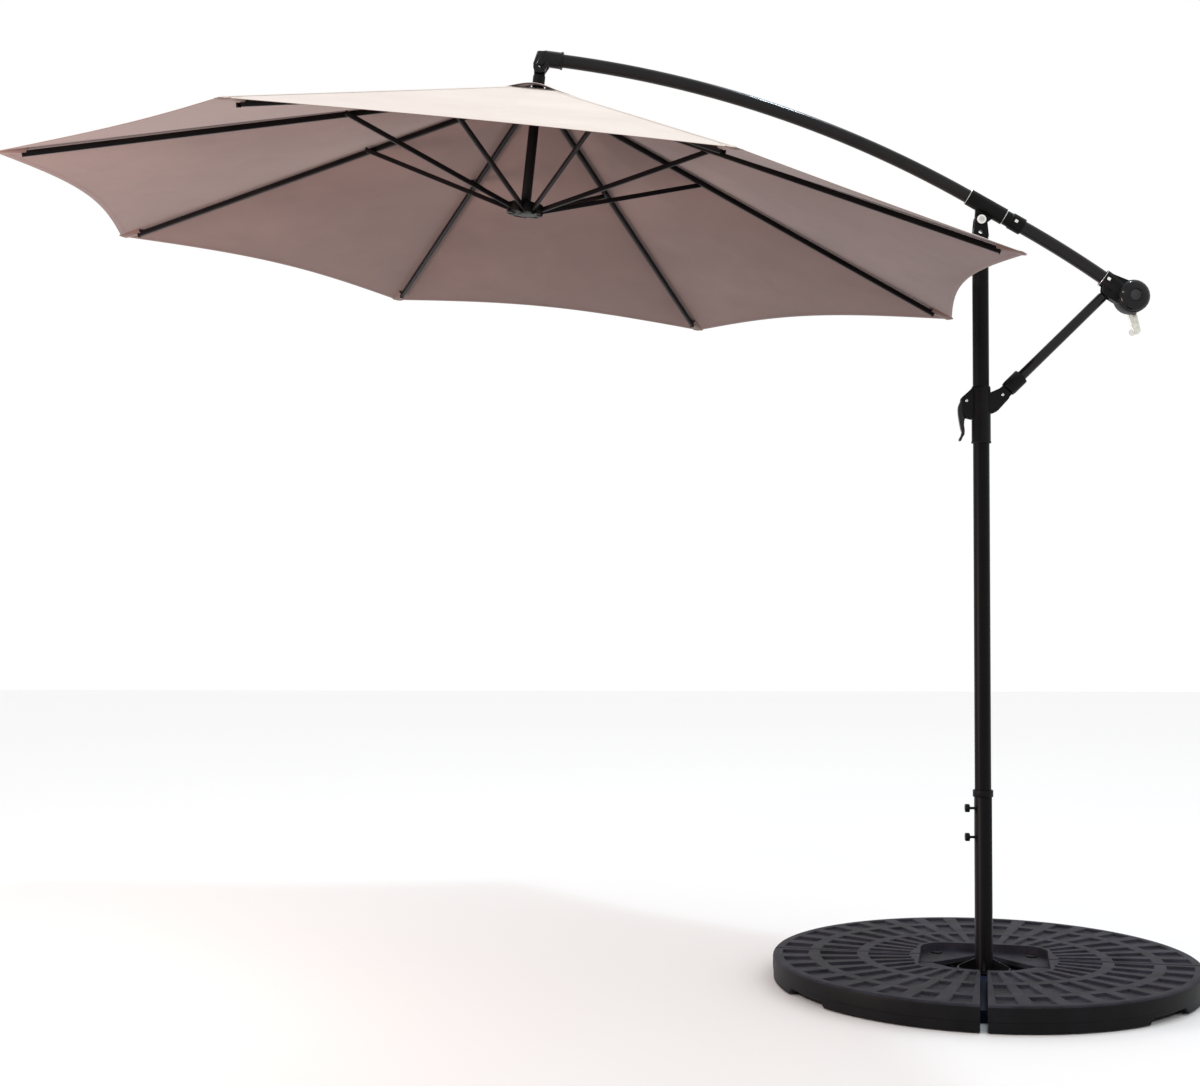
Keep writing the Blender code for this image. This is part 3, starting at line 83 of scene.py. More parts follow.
def colourRamp(tree, source, stops):
    ramp = addNode(tree, "ShaderNodeValToRGB", links={"Fac": source})
    ramp.color_ramp.elements[0].position, ramp.color_ramp.elements[1].position = stops[0][0], stops[-1][0]
    ramp.color_ramp.elements[0].color, ramp.color_ramp.elements[1].color = linear(stops[0][1]), linear(stops[-1][1])
    for position, colour in stops[1:-1]:
        ramp.color_ramp.elements.new(position).color = linear(colour)
    return ramp


def feedShader(tree, shader, colour, gloss=None, bump=None):
    # the finished colour, roughness and surface go into the shader last
    tree.links.new(colour.outputs["Color"], shader.inputs["Base Color"])
    if gloss:
        tree.links.new(gloss.outputs["Result"], shader.inputs["Roughness"])
    if bump:
        tree.links.new(bump.outputs["Normal"], shader.inputs["Normal"])


def coatedMetal(name, dark, light, rough, metallic=0.0, coat=0.0):
    # powder coat: baked polyester powder, so a fine orange peel about 2 mm across over a satin face
    material, tree, shader = newMaterial(name, {"Metallic": metallic, "Coat Weight": coat, "Coat Roughness": 0.12,
                                                "Specular IOR Level": 0.09})
    place = addNode(tree, "ShaderNodeTexCoord").outputs["Object"]
    cloud = addNode(tree, "ShaderNodeTexNoise", {"Scale": 9.0, "Detail": 5.0}, {"Vector": place})
    ramp = colourRamp(tree, cloud.outputs["Fac"], [(0.3, dark), (0.7, light)])
    peel = addNode(tree, "ShaderNodeTexNoise", {"Scale": 480.0, "Detail": 1.0}, {"Vector": place})
    gloss = addNode(tree, "ShaderNodeMapRange", {"To Min": rough - 0.05, "To Max": rough + 0.07},
                    {"Value": cloud.outputs["Fac"]})
    bump = addNode(tree, "ShaderNodeBump", {"Strength": 0.22, "Distance": 0.0002}, {"Height": peel.outputs["Fac"]})
    feedShader(tree, shader, ramp, gloss, bump)
    return material


def mouldedPlastic(name, dark, light, rough, grainSize, grainDepth, coat=0.0, shine=0.11):
    # glass-filled nylon or ABS from a steel mould: a spark-eroded grain that breaks up the shine
    material, tree, shader = newMaterial(name, {"IOR": 1.53, "Coat Weight": coat, "Coat Roughness": 0.08,
                                                "Specular IOR Level": shine})
    place = addNode(tree, "ShaderNodeTexCoord").outputs["Object"]
    grain = addNode(tree, "ShaderNodeTexNoise", {"Scale": 1.0 / grainSize, "Detail": 3.0}, {"Vector": place})
    cloud = addNode(tree, "ShaderNodeTexNoise", {"Scale": 14.0, "Detail": 4.0}, {"Vector": place})
    mixed = addNode(tree, "ShaderNodeMath", {"operation": "MULTIPLY_ADD", 1: 0.5},
                    {0: grain.outputs["Fac"], 2: cloud.outputs["Fac"]})
    ramp = colourRamp(tree, mixed.outputs["Value"], [(0.55, dark), (0.95, light)])
    gloss = addNode(tree, "ShaderNodeMapRange", {"To Min": rough - 0.07, "To Max": rough + 0.08},
                    {"Value": grain.outputs["Fac"]})
    bump = addNode(tree, "ShaderNodeBump", {"Strength": 0.5, "Distance": grainDepth}, {"Height": grain.outputs["Fac"]})
    feedShader(tree, shader, ramp, gloss, bump)
    return material


def platedSteel(name, dark, light, rough):
    # bright zinc plate: a soft grey-white metal with faint clouding
    material, tree, shader = newMaterial(name, {"Metallic": 1.0})
    place = addNode(tree, "ShaderNodeTexCoord").outputs["Object"]
    cloud = addNode(tree, "ShaderNodeTexNoise", {"Scale": 90.0, "Detail": 5.0}, {"Vector": place})
    ramp = colourRamp(tree, cloud.outputs["Fac"], [(0.3, dark), (0.7, light)])
    gloss = addNode(tree, "ShaderNodeMapRange", {"To Min": rough - 0.06, "To Max": rough + 0.1},
                    {"Value": cloud.outputs["Fac"]})
    feedShader(tree, shader, ramp, gloss)
    return material


def wovenPolyester(name, shade, body, light, stitched=False):
    # solution-dyed polyester, plain weave of about 0.5 mm threads, drawn at 3 mm so that it shows
    material, tree, shader = newMaterial(name, {"Roughness": 0.86, "Sheen Weight": 0.25, "Sheen Roughness": 0.5,
                                                "Specular IOR Level": 0.25})
    flat = addNode(tree, "ShaderNodeUVMap", {"uv_map": "cut"}).outputs["UV"]
    warp = addNode(tree, "ShaderNodeTexWave", {"Scale": 105.0, "bands_direction": "X", "Distortion": 0.6},
                   {"Vector": flat})
    weft = addNode(tree, "ShaderNodeTexWave", {"Scale": 105.0, "bands_direction": "Y", "Distortion": 0.6},
                   {"Vector": flat})
    weave = addNode(tree, "ShaderNodeMath", {"operation": "MAXIMUM"}, {0: warp.outputs["Fac"], 1: weft.outputs["Fac"]})
    drift = addNode(tree, "ShaderNodeTexNoise", {"Scale": 2.4, "Detail": 6.0, "Roughness": 0.62}, {"Vector": flat})
    tone = addNode(tree, "ShaderNodeMath", {"operation": "MULTIPLY_ADD", 1: 0.10},
                   {0: weave.outputs["Value"], 2: drift.outputs["Fac"]})
    ramp = colourRamp(tree, tone.outputs["Value"], [(0.32, shade), (0.56, body), (0.80, light)])
    fold = addNode(tree, "ShaderNodeTexNoise", {"Scale": 5.0, "Detail": 2.0, "Distortion": 0.8}, {"Vector": flat})
    drape = addNode(tree, "ShaderNodeBump", {"Strength": 0.13, "Distance": 0.012}, {"Height": fold.outputs["Fac"]})
    bump = addNode(tree, "ShaderNodeBump", {"Strength": 0.35, "Distance": 0.0004},
                   {"Height": weave.outputs["Value"], "Normal": drape.outputs["Normal"]})
    feedShader(tree, shader, ramp, bump=bump)
    return material


poleCoat = coatedMetal("blackPowderCoatSteel", "#050506", "#0b0a0c", 0.36)
armCoat = coatedMetal("blackPowderCoatArm", "#0b090a", "#151112", 0.26, coat=0.34)
ribCoat = coatedMetal("blackPowderCoatRibs", "#0c0a0b", "#171314", 0.38)
navyCoat = coatedMetal("navyPowderCoatSteel", "#0e1428", "#1a2340", 0.42)
nylon = mouldedPlastic("mouldedBlackNylon", "#060606", "#0e0d0e", 0.44, 0.0011, 0.0002)
glossAbs = mouldedPlastic("polishedBlackAbs", "#08080a", "#101013", 0.22, 0.004, 0.0001, coat=0.28, shine=0.08)
badgeAbs = mouldedPlastic("satinGreyAbsDisc", "#2c2c2f", "#3c3c40", 0.42, 0.002, 0.0001)
paleAbs = mouldedPlastic("paleGreyAbsButton", "#d9d8d4", "#eceae6", 0.40, 0.002, 0.0001)
plateGrain = mouldedPlastic("blowMouldedHdpeGrained", "#18171d", "#2e2d37", 0.60, 0.0042, 0.0022)
# the side plastic is the same HDPE painted much darker than the top: painted shade on faces turned from the light,
# over a real smoother grain
plateSidePaintedShade = mouldedPlastic("blowMouldedHdpeSmoothPaintedShade", "#070708", "#0f0e11", 0.50, 0.0040, 0.0004)
zinc = platedSteel("brightZincPlate", "#b9bab8", "#dedfdc", 0.30)
chrome = platedSteel("castZincCrank", "#bdbcb2", "#e2e1d8", 0.24)
clothTop = wovenPolyester("polyesterSunSide", "#d8cac0", "#dfd1c8", "#e4d8cf")
# the shade-side material is the same polyester painted much darker: painted shade for the canopy's underside
clothPaintedShade = wovenPolyester("polyesterUndersidePaintedShade", "#56423e", "#5e4945", "#66504b")
print("materials made")


def facing(point, direction):
    # a place whose +Z runs along direction
    turn = Vector((0, 0, 1)).rotation_difference(Vector(direction)).to_matrix().to_4x4()
    return Matrix.Translation(point) @ turn


def turned(profile, steps=40, place=None):
    bm = bmesh.new()
    chain = [bm.verts.new((radius, 0, height)) for radius, height in profile]
    edges = [bm.edges.new(pair) for pair in zip(chain, chain[1:])]
    bmesh.ops.spin(bm, geom=chain + edges, axis=(0, 0, 1), cent=(0, 0, 0), angle=2 * pi, steps=steps, use_merge=True)
    bmesh.ops.remove_doubles(bm, verts=bm.verts, dist=0.00001)
    bmesh.ops.recalc_face_normals(bm, faces=bm.faces)
    bm.transform(place or Matrix.Identity(4))
    return bm


def block(size, place, ease=0.0):
    bm = bmesh.new()
    bmesh.ops.create_cube(bm, size=1.0, matrix=Matrix.Diagonal((*size, 1)))
    if ease:
        bmesh.ops.bevel(bm, geom=bm.edges, offset=ease, segments=3, affect="EDGES", profile=0.5, material=-1)
    bm.transform(place)
    return bm


def swept(stations, radius, steps=40):
    bm = bmesh.new()
    bmesh.ops.create_circle(bm, cap_ends=True, segments=steps, radius=radius, matrix=stations[0])
    face = list(bm.faces)[0]
    for before, after in zip(stations, stations[1:]):
        grown = bmesh.ops.extrude_face_region(bm, geom=[face])["geom"]
        face = next(item for item in grown if isinstance(item, bmesh.types.BMFace))
        bmesh.ops.transform(bm, matrix=after @ before.inverted(), verts=face.verts)
    bmesh.ops.recalc_face_normals(bm, faces=bm.faces)
    return bm


rounding = {"smoothBelow": 38, "easeAbove": 34, "segments": 2}  # angles in degrees


def newPiece(name, shapes, materials, body, standsFor=(), ease=0.0):
    whole = bmesh.new()
    for shape in shapes:
        part = bpy.data.meshes.new("part")
        shape.to_mesh(part)
        shape.free()
        whole.from_mesh(part)
        bpy.data.meshes.remove(part)
    for face in whole.faces:
        face.smooth = True
    for edge in whole.edges:
        shallow = edge.calc_face_angle(0.0) < radians(rounding["smoothBelow"])
        edge.smooth = bool(ease) or not edge.is_boundary and shallow
    mesh = bpy.data.meshes.new(name)
    whole.to_mesh(mesh)
    whole.free()
    piece = bpy.data.objects.new(name, mesh)
    bpy.context.scene.collection.objects.link(piece)
    for material in materials if isinstance(materials, list) else [materials]:
        mesh.materials.append(material)
    if ease:
        easing = piece.modifiers.new("ease", "BEVEL")
        easing.width = ease
        easing.segments = rounding["segments"]
        easing.limit_method = "ANGLE"
        easing.angle_limit = radians(rounding["easeAbove"])
        easing.use_clamp_overlap = False
        easing.harden_normals = True
    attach(piece, body)
    if standsFor:
        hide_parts(*standsFor)
    return piece


def welded(nodeName):
    # a merged copy of a CAD node's triangles, with its flat faces whole again
    bm = bmesh.new()
    bm.from_mesh(nodes[nodeName].data)
    bmesh.ops.remove_doubles(bm, verts=bm.verts, dist=0.00002)
    bmesh.ops.dissolve_limit(bm, angle_limit=radians(0.6), verts=bm.verts, edges=bm.edges)
    return bm


def easedFitting(nodeName, pieceName, material, body, ease):
    return newPiece(pieceName, [welded(nodeName)], material, body, [nodeName], ease=ease)


def rivet(point, direction, radius=0.0045, height=0.0018):
    # a domed head on a thin collar
    profile = [(0, height), (radius * 0.5, height * 0.86), (radius * 0.85, height * 0.5), (radius, 0.0002),
               (radius, -0.0004), (0, -0.0004)]
    return turned(profile, 20, facing(point, direction))


# the camera stands in front at chest height; up and left are degrees
camera = {"at": (-0.993, -5.222, 1.170), "up": 1.335, "left": 1.505, "lens": 52.666}
lens = bpy.data.cameras.new("camera")
lens.lens = camera["lens"]
lens.sensor_width = 36.0
eye = bpy.data.objects.new("camera", lens)
eye.location = camera["at"]
eye.rotation_euler = (radians(90 + camera["up"]), 0, radians(camera["left"]))
bpy.context.scene.collection.objects.link(eye)
bpy.context.scene.camera = eye
bpy.context.scene.view_settings.view_transform = "Standard"

lights = [  # name, place, aims at, width, power, colour
    ("keyLeft", (-5.5, -4.5, 5.5), (-0.5, 0, 1.6), 0.45, 60, "#fff6ec"),
    ("skyTop", (0.5, 0.8, 6.0), (0, 0, 1.5), 0.4, 60, "#dcf0ff"),
    ("fillRight", (4.5, -4.0, 2.5), (0.2, 0, 1.0), 3.0, 5, "#f4f6ff"),
    ("underLeft", (-3.7, -1.3, 0.9), (-2.4, 0, 2.3), 1.2, 80, "#ffe0d6"),
]
for name, place, aim, width, power, colour in lights:
    lamp = bpy.data.lights.new(name, "AREA")
    lamp.size = width
    lamp.energy = power
    lamp.color = linear(colour)[:3]
    lampObject = bpy.data.objects.new(name, lamp)
    lampObject.matrix_world = facing(place, Vector(place) - Vector(aim))
    bpy.context.scene.collection.objects.link(lampObject)

world = bpy.data.worlds.new("studio")
world.use_nodes = True
world.node_tree.nodes["Background"].inputs["Color"].default_value = linear("#ffffff")
world.node_tree.nodes["Background"].inputs["Strength"].default_value = 1.0
bpy.context.scene.world = world

floorBm = bmesh.new()
bmesh.ops.create_grid(floorBm, x_segments=1, y_segments=1, size=14.0, matrix=Matrix.Translation((0, 0, -0.001)))
floorMesh = bpy.data.meshes.new("floor")
floorBm.to_mesh(floorMesh)
floorBm.free()
floor = bpy.data.objects.new("floor", floorMesh)
floorMesh.materials.append(newMaterial("paleFloor", {"Base Color": linear("#f7f7f7"), "Roughness": 0.9})[0])
bpy.context.scene.collection.objects.link(floor)
print("camera, light and floor set")

# the canopy: one cloth over each rib; tilt is its lean in degrees
canopy = {"radius": 1.5, "drop": 0.478, "panels": 8, "tilt": 5.98, "peakBelowPin": 0.0535, "hemCurve": 0.062,
          "hole": 0.110, "cloth": 0.0012, "sag": 0.013, "hem": 0.020, "seam": 0.0075, "keep": 0.145}
halfPanel = pi / canopy["panels"]
canopyAxis = Vector((sin(radians(canopy["tilt"])), 0, cos(radians(canopy["tilt"]))))
peak = pins["canopy_hang"] - canopyAxis * canopy["peakBelowPin"]
canopyPlace = Matrix.Translation(peak) @ Matrix.Rotation(radians(canopy["tilt"]), 4, "Y")
ribFall = canopy["drop"] / canopy["radius"]
ribSlope = atan(ribFall)


def ribTurn(index):
    # the canopy's own frame, turned so that +X runs along this rib
    return canopyPlace @ Matrix.Rotation((index + 0.5) * 2 * halfPanel, 4, "Z")


def clothSpot(out, across, lift=0.0):
    # out runs 0 to 1 from the top hole to the hem, across -1 to 1 from mid-panel to mid-panel over one rib
    angle = across * halfPanel
    fromMiddle = halfPanel - abs(angle)
    slack = 1 - (fromMiddle / halfPanel) ** 2
    chord = cos(halfPanel) / cos(fromMiddle)
    hem = canopy["radius"] * chord - canopy["hemCurve"] * slack
    hole = canopy["hole"] * chord
    radius = hole + (hem - hole) * out
    fall = canopy["drop"] / (canopy["radius"] * cos(halfPanel))
    sag = canopy["sag"] * slack * sin(pi * min(out, 1) ** 0.85)
    return Vector((radius * cos(angle), radius * sin(angle), -fall * radius * cos(fromMiddle) - sag + lift))


def clothGrid(outSteps, acrossSteps, mapping, place):
    # a grid whose points go where mapping says, with its flat size in metres kept as the UV map "cut"
    bm = bmesh.new()
    bmesh.ops.create_grid(bm, x_segments=outSteps, y_segments=acrossSteps, size=1.0)
    flat = bm.loops.layers.uv.new("cut")
    spots = {vert: mapping((vert.co.x + 1) / 2, vert.co.y) for vert in bm.verts}
    for face in bm.faces:
        for loop in face.loops:
            spot = spots[loop.vert]
            loop[flat].uv = (spot.x / cos(ribSlope), spot.y)
    for vert, spot in spots.items():
        vert.co = spot
    bm.transform(place)
    bm.normal_update()
    return bm


def hemSpot(turnIn, across):
    # the hem's fold: over the top, round the edge and back underneath
    width = canopy["hem"] / canopy["radius"]
    rows = [(1 - width, 0.0002), (1 - width * 0.5, 0.0006), (1.0, 0.0004), (1.0012, -0.0008), (1.0, -0.0018),
            (1 - width * 0.5, -0.0020), (1 - width, -0.0015)]
    out, lift = rows[round(turnIn * 6)]
    return clothSpot(out, across, lift)


def seamSpot(out, side):
    # a felled seam that runs down the rib
    along = 0.006 + out * 0.988
    radius = canopy["hole"] + (canopy["radius"] - canopy["hole"]) * along
    spot = clothSpot(along, side * canopy["seam"] / radius / halfPanel)
    spot.z += 0.0011 * (1 - 0.35 * abs(side))
    return spot


def pocketSpot(out, side):
    # the pocket under the corner that the rib's end is buttoned into, blunt and rounded at its tip
    radius = canopy["radius"] - 0.078 * (1 - out)
    width = (0.015 + 0.009 * out) * (1 - max(0, out - 0.8) ** 2 * 9)
    depth = (0.013 - 0.009 * out) * (1 - side * side) ** 0.7
    hang = -ribFall * radius - 0.0016 - depth * (1 - max(0, out - 0.9) * 9)
    return Vector((radius - 0.002, side * width, hang))


def clothWall(piece, thickness, paintedShadeInside=True):
    # the cloth's thickness, below its sun side; its inner faces can take the second material, the same cloth painted
    # darker as painted shade on the underside
    wall = piece.modifiers.new("cloth", "SOLIDIFY")
    wall.thickness = thickness
    if paintedShadeInside:
        wall.offset = -1.0
        wall.material_offset = 1


for index in range(canopy["panels"]):
    place = ribTurn(index)
    number = index + 1
    body = f"rib_body_{number}"
    sheet = clothGrid(30, 28, clothSpot, place)
    area = sum(face.calc_area() for face in sheet.faces)
    cloth = newPiece(f"canopyCloth_{number}", [sheet], [clothTop, clothPaintedShade], body, [f"canopy_{number}"])
    clothWall(cloth, canopy["cloth"])
    hemBm = clothGrid(6, 28, hemSpot, place)
    outward = place.to_3x3() @ Vector((0, 0, 1))
    # the hem's faces that turn down take the darker cloth, painted shade
    for face in hemBm.faces:
        face.material_index = 0 if face.normal.dot(outward) > 0.3 else 1
    hem = newPiece(f"canopyHem_{number}", [hemBm], [clothTop, clothPaintedShade], body)
    seam = newPiece(f"canopySeam_{number}", [clothGrid(26, 4, seamSpot, place)], clothTop, body)
    # the pocket is made in the darker cloth, painted shade under the rib's end
    pocket = newPiece(f"canopyPocket_{number}", [clothGrid(10, 16, pocketSpot, place)], clothPaintedShade, body)
    clothWall(pocket, 0.001, paintedShadeInside=False)
    for soft in (cloth, hem):
        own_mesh(soft)
    if index == 0:
        print("sheet area", round(area, 4))

vent = {"corner": 0.178, "cornerZ": -0.0525, "arch": 0.146, "neck": 0.0225, "neckZ": -0.004,
        "lift": 0.007, "frontLift": 0.020, "frontPanel": 5}


def ventSpot(out, around):
    # an eight-sided cap whose corners lie on the ribs, its hem arched up between them to let the wind out
    turnOn = (around + 1) / 2 * canopy["panels"]
    arch = 4 * (turnOn % 1) * (1 - turnOn % 1)
    lift = vent["frontLift"] if int(turnOn) == vent["frontPanel"] else vent["lift"]
    radius = vent["neck"] + (vent["corner"] + (vent["arch"] - vent["corner"]) * arch - vent["neck"]) * out
    edge = vent["cornerZ"] + lift * arch
    height = vent["neckZ"] + (edge - vent["neckZ"]) * out ** 1.12
    angle = (turnOn + 0.5) * 2 * halfPanel
    return Vector((radius * cos(angle), radius * sin(angle), height))


ventBm = clothGrid(10, 128, ventSpot, canopyPlace)
bmesh.ops.remove_doubles(ventBm, verts=ventBm.verts, dist=0.00002)
ventCap = newPiece("ventCap", [ventBm], [clothTop, clothPaintedShade], "head", ["vent_cap"])
# the vent cap's inner faces take the darker cloth, painted shade
clothWall(ventCap, canopy["cloth"])
print("canopy made")

# arm, tail and pole tubes; slopes and the tail's bend are degrees below level
arm = {"radius": 0.0198, "bend": 3.342, "sleeveSlope": 30.0, "elbowSlope": 8.0, "sleeveRise": 0.045,
       "sleeveShift": -0.0047, "sleeveLength": 0.123, "couplerLength": 0.060, "tailBend": 5.2, "tailLength": 0.280}


def downhill(slope):
    return Vector((cos(radians(slope)), 0, -sin(radians(slope))))


def tubePlace(point, slope):
    return Matrix.Translation(point) @ Matrix.Rotation(radians(90 + slope), 4, "Y")


def arcStations(start, slopeFrom, slopeTo, bend, sign, count):
    # places along an arc in the XZ plane, sign 1 downhill and -1 uphill
    places = []
    for step in range(count + 1):
        slope = slopeFrom + (slopeTo - slopeFrom) * step / count
        chord = 2 * bend * sin(radians(abs(slope - slopeFrom)) / 2)
        places.append(tubePlace(start + downhill((slope + slopeFrom) / 2) * chord * sign, slope))
    return places


sleeveDir = downhill(arm["sleeveSlope"])
sleeveUp = Vector((-sleeveDir.z, 0, sleeveDir.x))
sleeveMid = pins["arm_tilt"] + sleeveUp * arm["sleeveRise"] + sleeveDir * arm["sleeveShift"]
sleeveTop = sleeveMid - sleeveDir * arm["sleeveLength"] / 2
couplerStart = sleeveMid + sleeveDir * (arm["sleeveLength"] / 2 + 0.002)
couplerEnd = couplerStart + sleeveDir * arm["couplerLength"]
climb = arcStations(sleeveTop, arm["sleeveSlope"], arm["elbowSlope"], arm["bend"], -1, 28)
mouth = climb[-1].translation
armStations = [tubePlace(sleeveMid - sleeveDir * 0.0003, arm["sleeveSlope"])] + climb
armStations += [tubePlace(mouth - downhill(arm["elbowSlope"]) * 0.036, arm["elbowSlope"])]
newPiece("armTube", [swept(armStations, arm["radius"], 48)], armCoat, "arm", ["arm_tube"])

tailSlope = arm["sleeveSlope"] + arm["tailBend"]
tail = arcStations(couplerEnd, arm["sleeveSlope"], tailSlope, arm["tailLength"] / radians(arm["tailBend"]), 1, 10)
tailEnd = tail[-1].translation
tailDir = downhill(tailSlope)
tailStations = [tubePlace(sleeveMid + sleeveDir * 0.0003, arm["sleeveSlope"])] + tail
tailStations += [tubePlace(tailEnd + tailDir * 0.026, tailSlope)]
newPiece("tailTube", [swept(tailStations, arm["radius"], 48)], armCoat, "arm", ["tail_tube"])

pole = {"radius": 0.0240, "bore": 0.0225, "bottom": 0.335, "top": 2.197}
poleWall = [(pole["bore"], pole["bottom"]), (pole["radius"], pole["bottom"]), (pole["radius"], pole["top"]),
            (pole["bore"], pole["top"]), (pole["bore"], pole["bottom"])]
newPiece("upperPole", [turned(poleWall, 56)], poleCoat, "mast", ["upper_pole"])
print("tubes made")

# fittings that keep the frame's shape, with eased edges
fittings = [  # node, piece, material, body, slot, easing
    ("pole_top_cap", "poleTopFork", nylon, "mast", "fitting", 0.0010),
    ("arm_sleeve", "armSleeve", nylon, "arm", "fitting", 0.0010),
    ("arm_coupler", "armCoupler", nylon, "arm", "fitting", 0.0008),
    ("crank_housing", "winchHousing", nylon, "arm", "fitting", 0.0014),
    ("housing_cover", "winchCover", glossAbs, "arm", "gloss_fitting", 0.0010),
    ("elbow_socket", "elbow", glossAbs, "arm", "gloss_fitting", 0.0014),
    ("winch_drum", "winchDrum", zinc, "crank", "zinc", 0.0005),
    ("crank_arm", "crankArm", chrome, "crank", "zinc", 0.0016),
    ("crank_grip", "crankGrip", chrome, "crank", "zinc", 0.0008),
    ("strut_tube", "strutTube", armCoat, "strut", "arm_tube", 0.0008),
    ("strut_socket", "strutSocket", nylon, "strut", "fitting", 0.0010),
    ("slider_sleeve", "sliderSleeve", nylon, "slider", "fitting", 0.0010),
    ("slider_lever", "sliderLever", armCoat, "lever", "fitting", 0.0012),
    ("hanger_neck", "hangerNeck", nylon, "head", "fitting", 0.0010),
    ("crown_hub", "crownHub", nylon, "head", "fitting", 0.0008),
    ("runner_hub", "runnerHub", nylon, "runner", "fitting", 0.0010),
    ("centre_tube", "centreTube", ribCoat, "runner", "rib_frame", 0.0006),
    ("pivot_bolt", "pivotBolt", zinc, "mast", "zinc", 0.0006),
    ("base_post", "lowerPole", poleCoat, "base", "pole", 0.0008),
    ("pole_collar", "poleCollar", nylon, "base", "fitting", 0.0006),
    ("thumbscrew_upper", "upperThumbscrew", nylon, "upper_screw", "fitting", 0.0006),
    ("thumbscrew_lower", "lowerThumbscrew", nylon, "lower_screw", "fitting", 0.0006),
    ("cross_bar_x", "crossBarX", navyCoat, "base", "cross_frame", 0.0020),
    ("cross_bar_y", "crossBarY", navyCoat, "base", "cross_frame", 0.0020),
]
for nodeName, pieceName, material, body, slotName, ease in fittings:
    easedFitting(nodeName, pieceName, material, body, ease)
for number in range(1, 9):
    easedFitting(f"rib_{number}", f"rib_{number}_tube", ribCoat, f"rib_body_{number}", 0.0022)
    easedFitting(f"stretcher_{number}", f"stretcher_{number}_bar", ribCoat, f"stretcher_body_{number}",
                 0.0020)
for number in range(1, 5):
    easedFitting(f"filler_cap_{number}", f"fillerCap_{number}", nylon, "base", 0.0006)
print("fittings made")

# weight plates: quarter rounds with three rings of moulded pockets, filled through the recess
plates = {"radius": 0.618, "turn": -10.8, "seamX": 0.010, "seamY": 0.003, "opening": 0.150, "recess": 0.186,
          "corner": 0.080, "floor": 0.050, "top": 0.074, "pocketDepth": 0.007, "pocketWall": 0.004,
          "rings": ((0.2145, 0.337), (0.368, 0.479), (0.511, 0.590)), "steps": 45, "notch": range(15, 23)}


def recessEdge(angle):
    # how far out the rounded square of the recess reaches
    along, beside = max(cos(angle), sin(angle)), min(cos(angle), sin(angle))
    straight = plates["recess"] / along
    inner = plates["recess"] - plates["corner"]
    if straight * beside <= inner:
        return straight
    middle = inner * (along + beside)
    return middle + sqrt(middle * middle - 2 * inner * inner + plates["corner"] ** 2)


def plateRows(angle, notched):
    # one radial section, from the foot of the opening over the top and rim to the underside
    opening = plates["opening"] / (cos(angle) + sin(angle))
    edge = recessEdge(angle)
    first = max(plates["rings"][0][0], edge + 0.012)
    top, floorZ, rim = plates["top"], plates["floor"], plates["radius"]
    cavityTop, foot = 0.0360, 0.0015
    low = 0.0200 if notched else foot
    rows = [(opening, cavityTop), (opening, floorZ), (edge - 0.003, floorZ), (edge, top), (first, top)]
    rows += [(plates["rings"][0][1], top), (plates["rings"][1][0], top), (plates["rings"][1][1], top)]
    rows += [(plates["rings"][2][0], top), (plates["rings"][2][1], top), (rim - 0.010, top)]
    rows += [(rim - 0.0045, top - 0.0015), (rim - 0.0012, top - 0.0050), (rim, top - 0.010), (rim, 0.0310)]
    rows += [(rim - 0.0018, 0.0296), (rim - 0.0018, low + 0.003), (rim - 0.005, low), (rim - 0.028, low)]
    return rows + [(rim - 0.0285, foot), (0.240, foot), (0.2395, cavityTop)]


def plateQuarter():
    bm = bmesh.new()
    chain = [bm.verts.new((radius, 0, height)) for radius, height in plateRows(0, False)]
    edges = [bm.edges.new(pair) for pair in zip(chain, chain[1:] + chain[:1])]
    bmesh.ops.spin(bm, geom=chain + edges, axis=(0, 0, 1), cent=(0, 0, 0), angle=pi / 2, steps=plates["steps"])
    bm.verts.ensure_lookup_table()
    count = len(chain)
    for vert in bm.verts:
        column, row = divmod(vert.index, count)
        angle = pi / 2 * column / plates["steps"]
        radius, height = plateRows(angle, column in plates["notch"])[row]
        start = atan2(plates["seamY"], radius)
        share = column / plates["steps"]
        turnTo = start + (pi / 2 - atan2(plates["seamX"], radius) - start) * share
        vert.co = (radius * cos(turnTo), radius * sin(turnTo), height)
    bmesh.ops.recalc_face_normals(bm, faces=bm.faces)
    ringRows, firstSideRow = ([4, 5], [6, 7], [8, 9]), 12
    pockets = {}  # three columns in every five are one pocket
    for face in bm.faces:
        columns = sorted(vert.index // count for vert in face.verts)
        rowsOf = sorted({vert.index % count for vert in face.verts})
        if rowsOf in ringRows and columns[0] % 5 in (1, 2, 3):
            pockets.setdefault((rowsOf[0], columns[0] // 5), []).append(face)
        # faces from the rim down take the darker side plastic, painted shade
        face.material_index = 1 if rowsOf[0] >= firstSideRow else 0
    bmesh.ops.holes_fill(bm, edges=[edge for edge in bm.edges if edge.is_boundary], sides=0)
    for faces in pockets.values():
        bmesh.ops.inset_region(bm, faces=faces, thickness=plates["pocketWall"], depth=-plates["pocketDepth"],
                               use_boundary=True, use_even_offset=True)
    return bm


for number, (sideX, sideY) in enumerate(((1, 1), (-1, 1), (-1, -1), (1, -1)), start=1):
    quarter = plateQuarter()
    quarter.transform(Matrix.Rotation(radians(plates["turn"]), 4, "Z") @ Matrix.Diagonal((sideX, sideY, 1, 1)))
    bmesh.ops.recalc_face_normals(quarter, faces=quarter.faces)
    newPiece(f"plate_{number}", [quarter], [plateGrain, plateSidePaintedShade], "base", [f"base_plate_{number}"],
             ease=0.0013)
print("plates made")

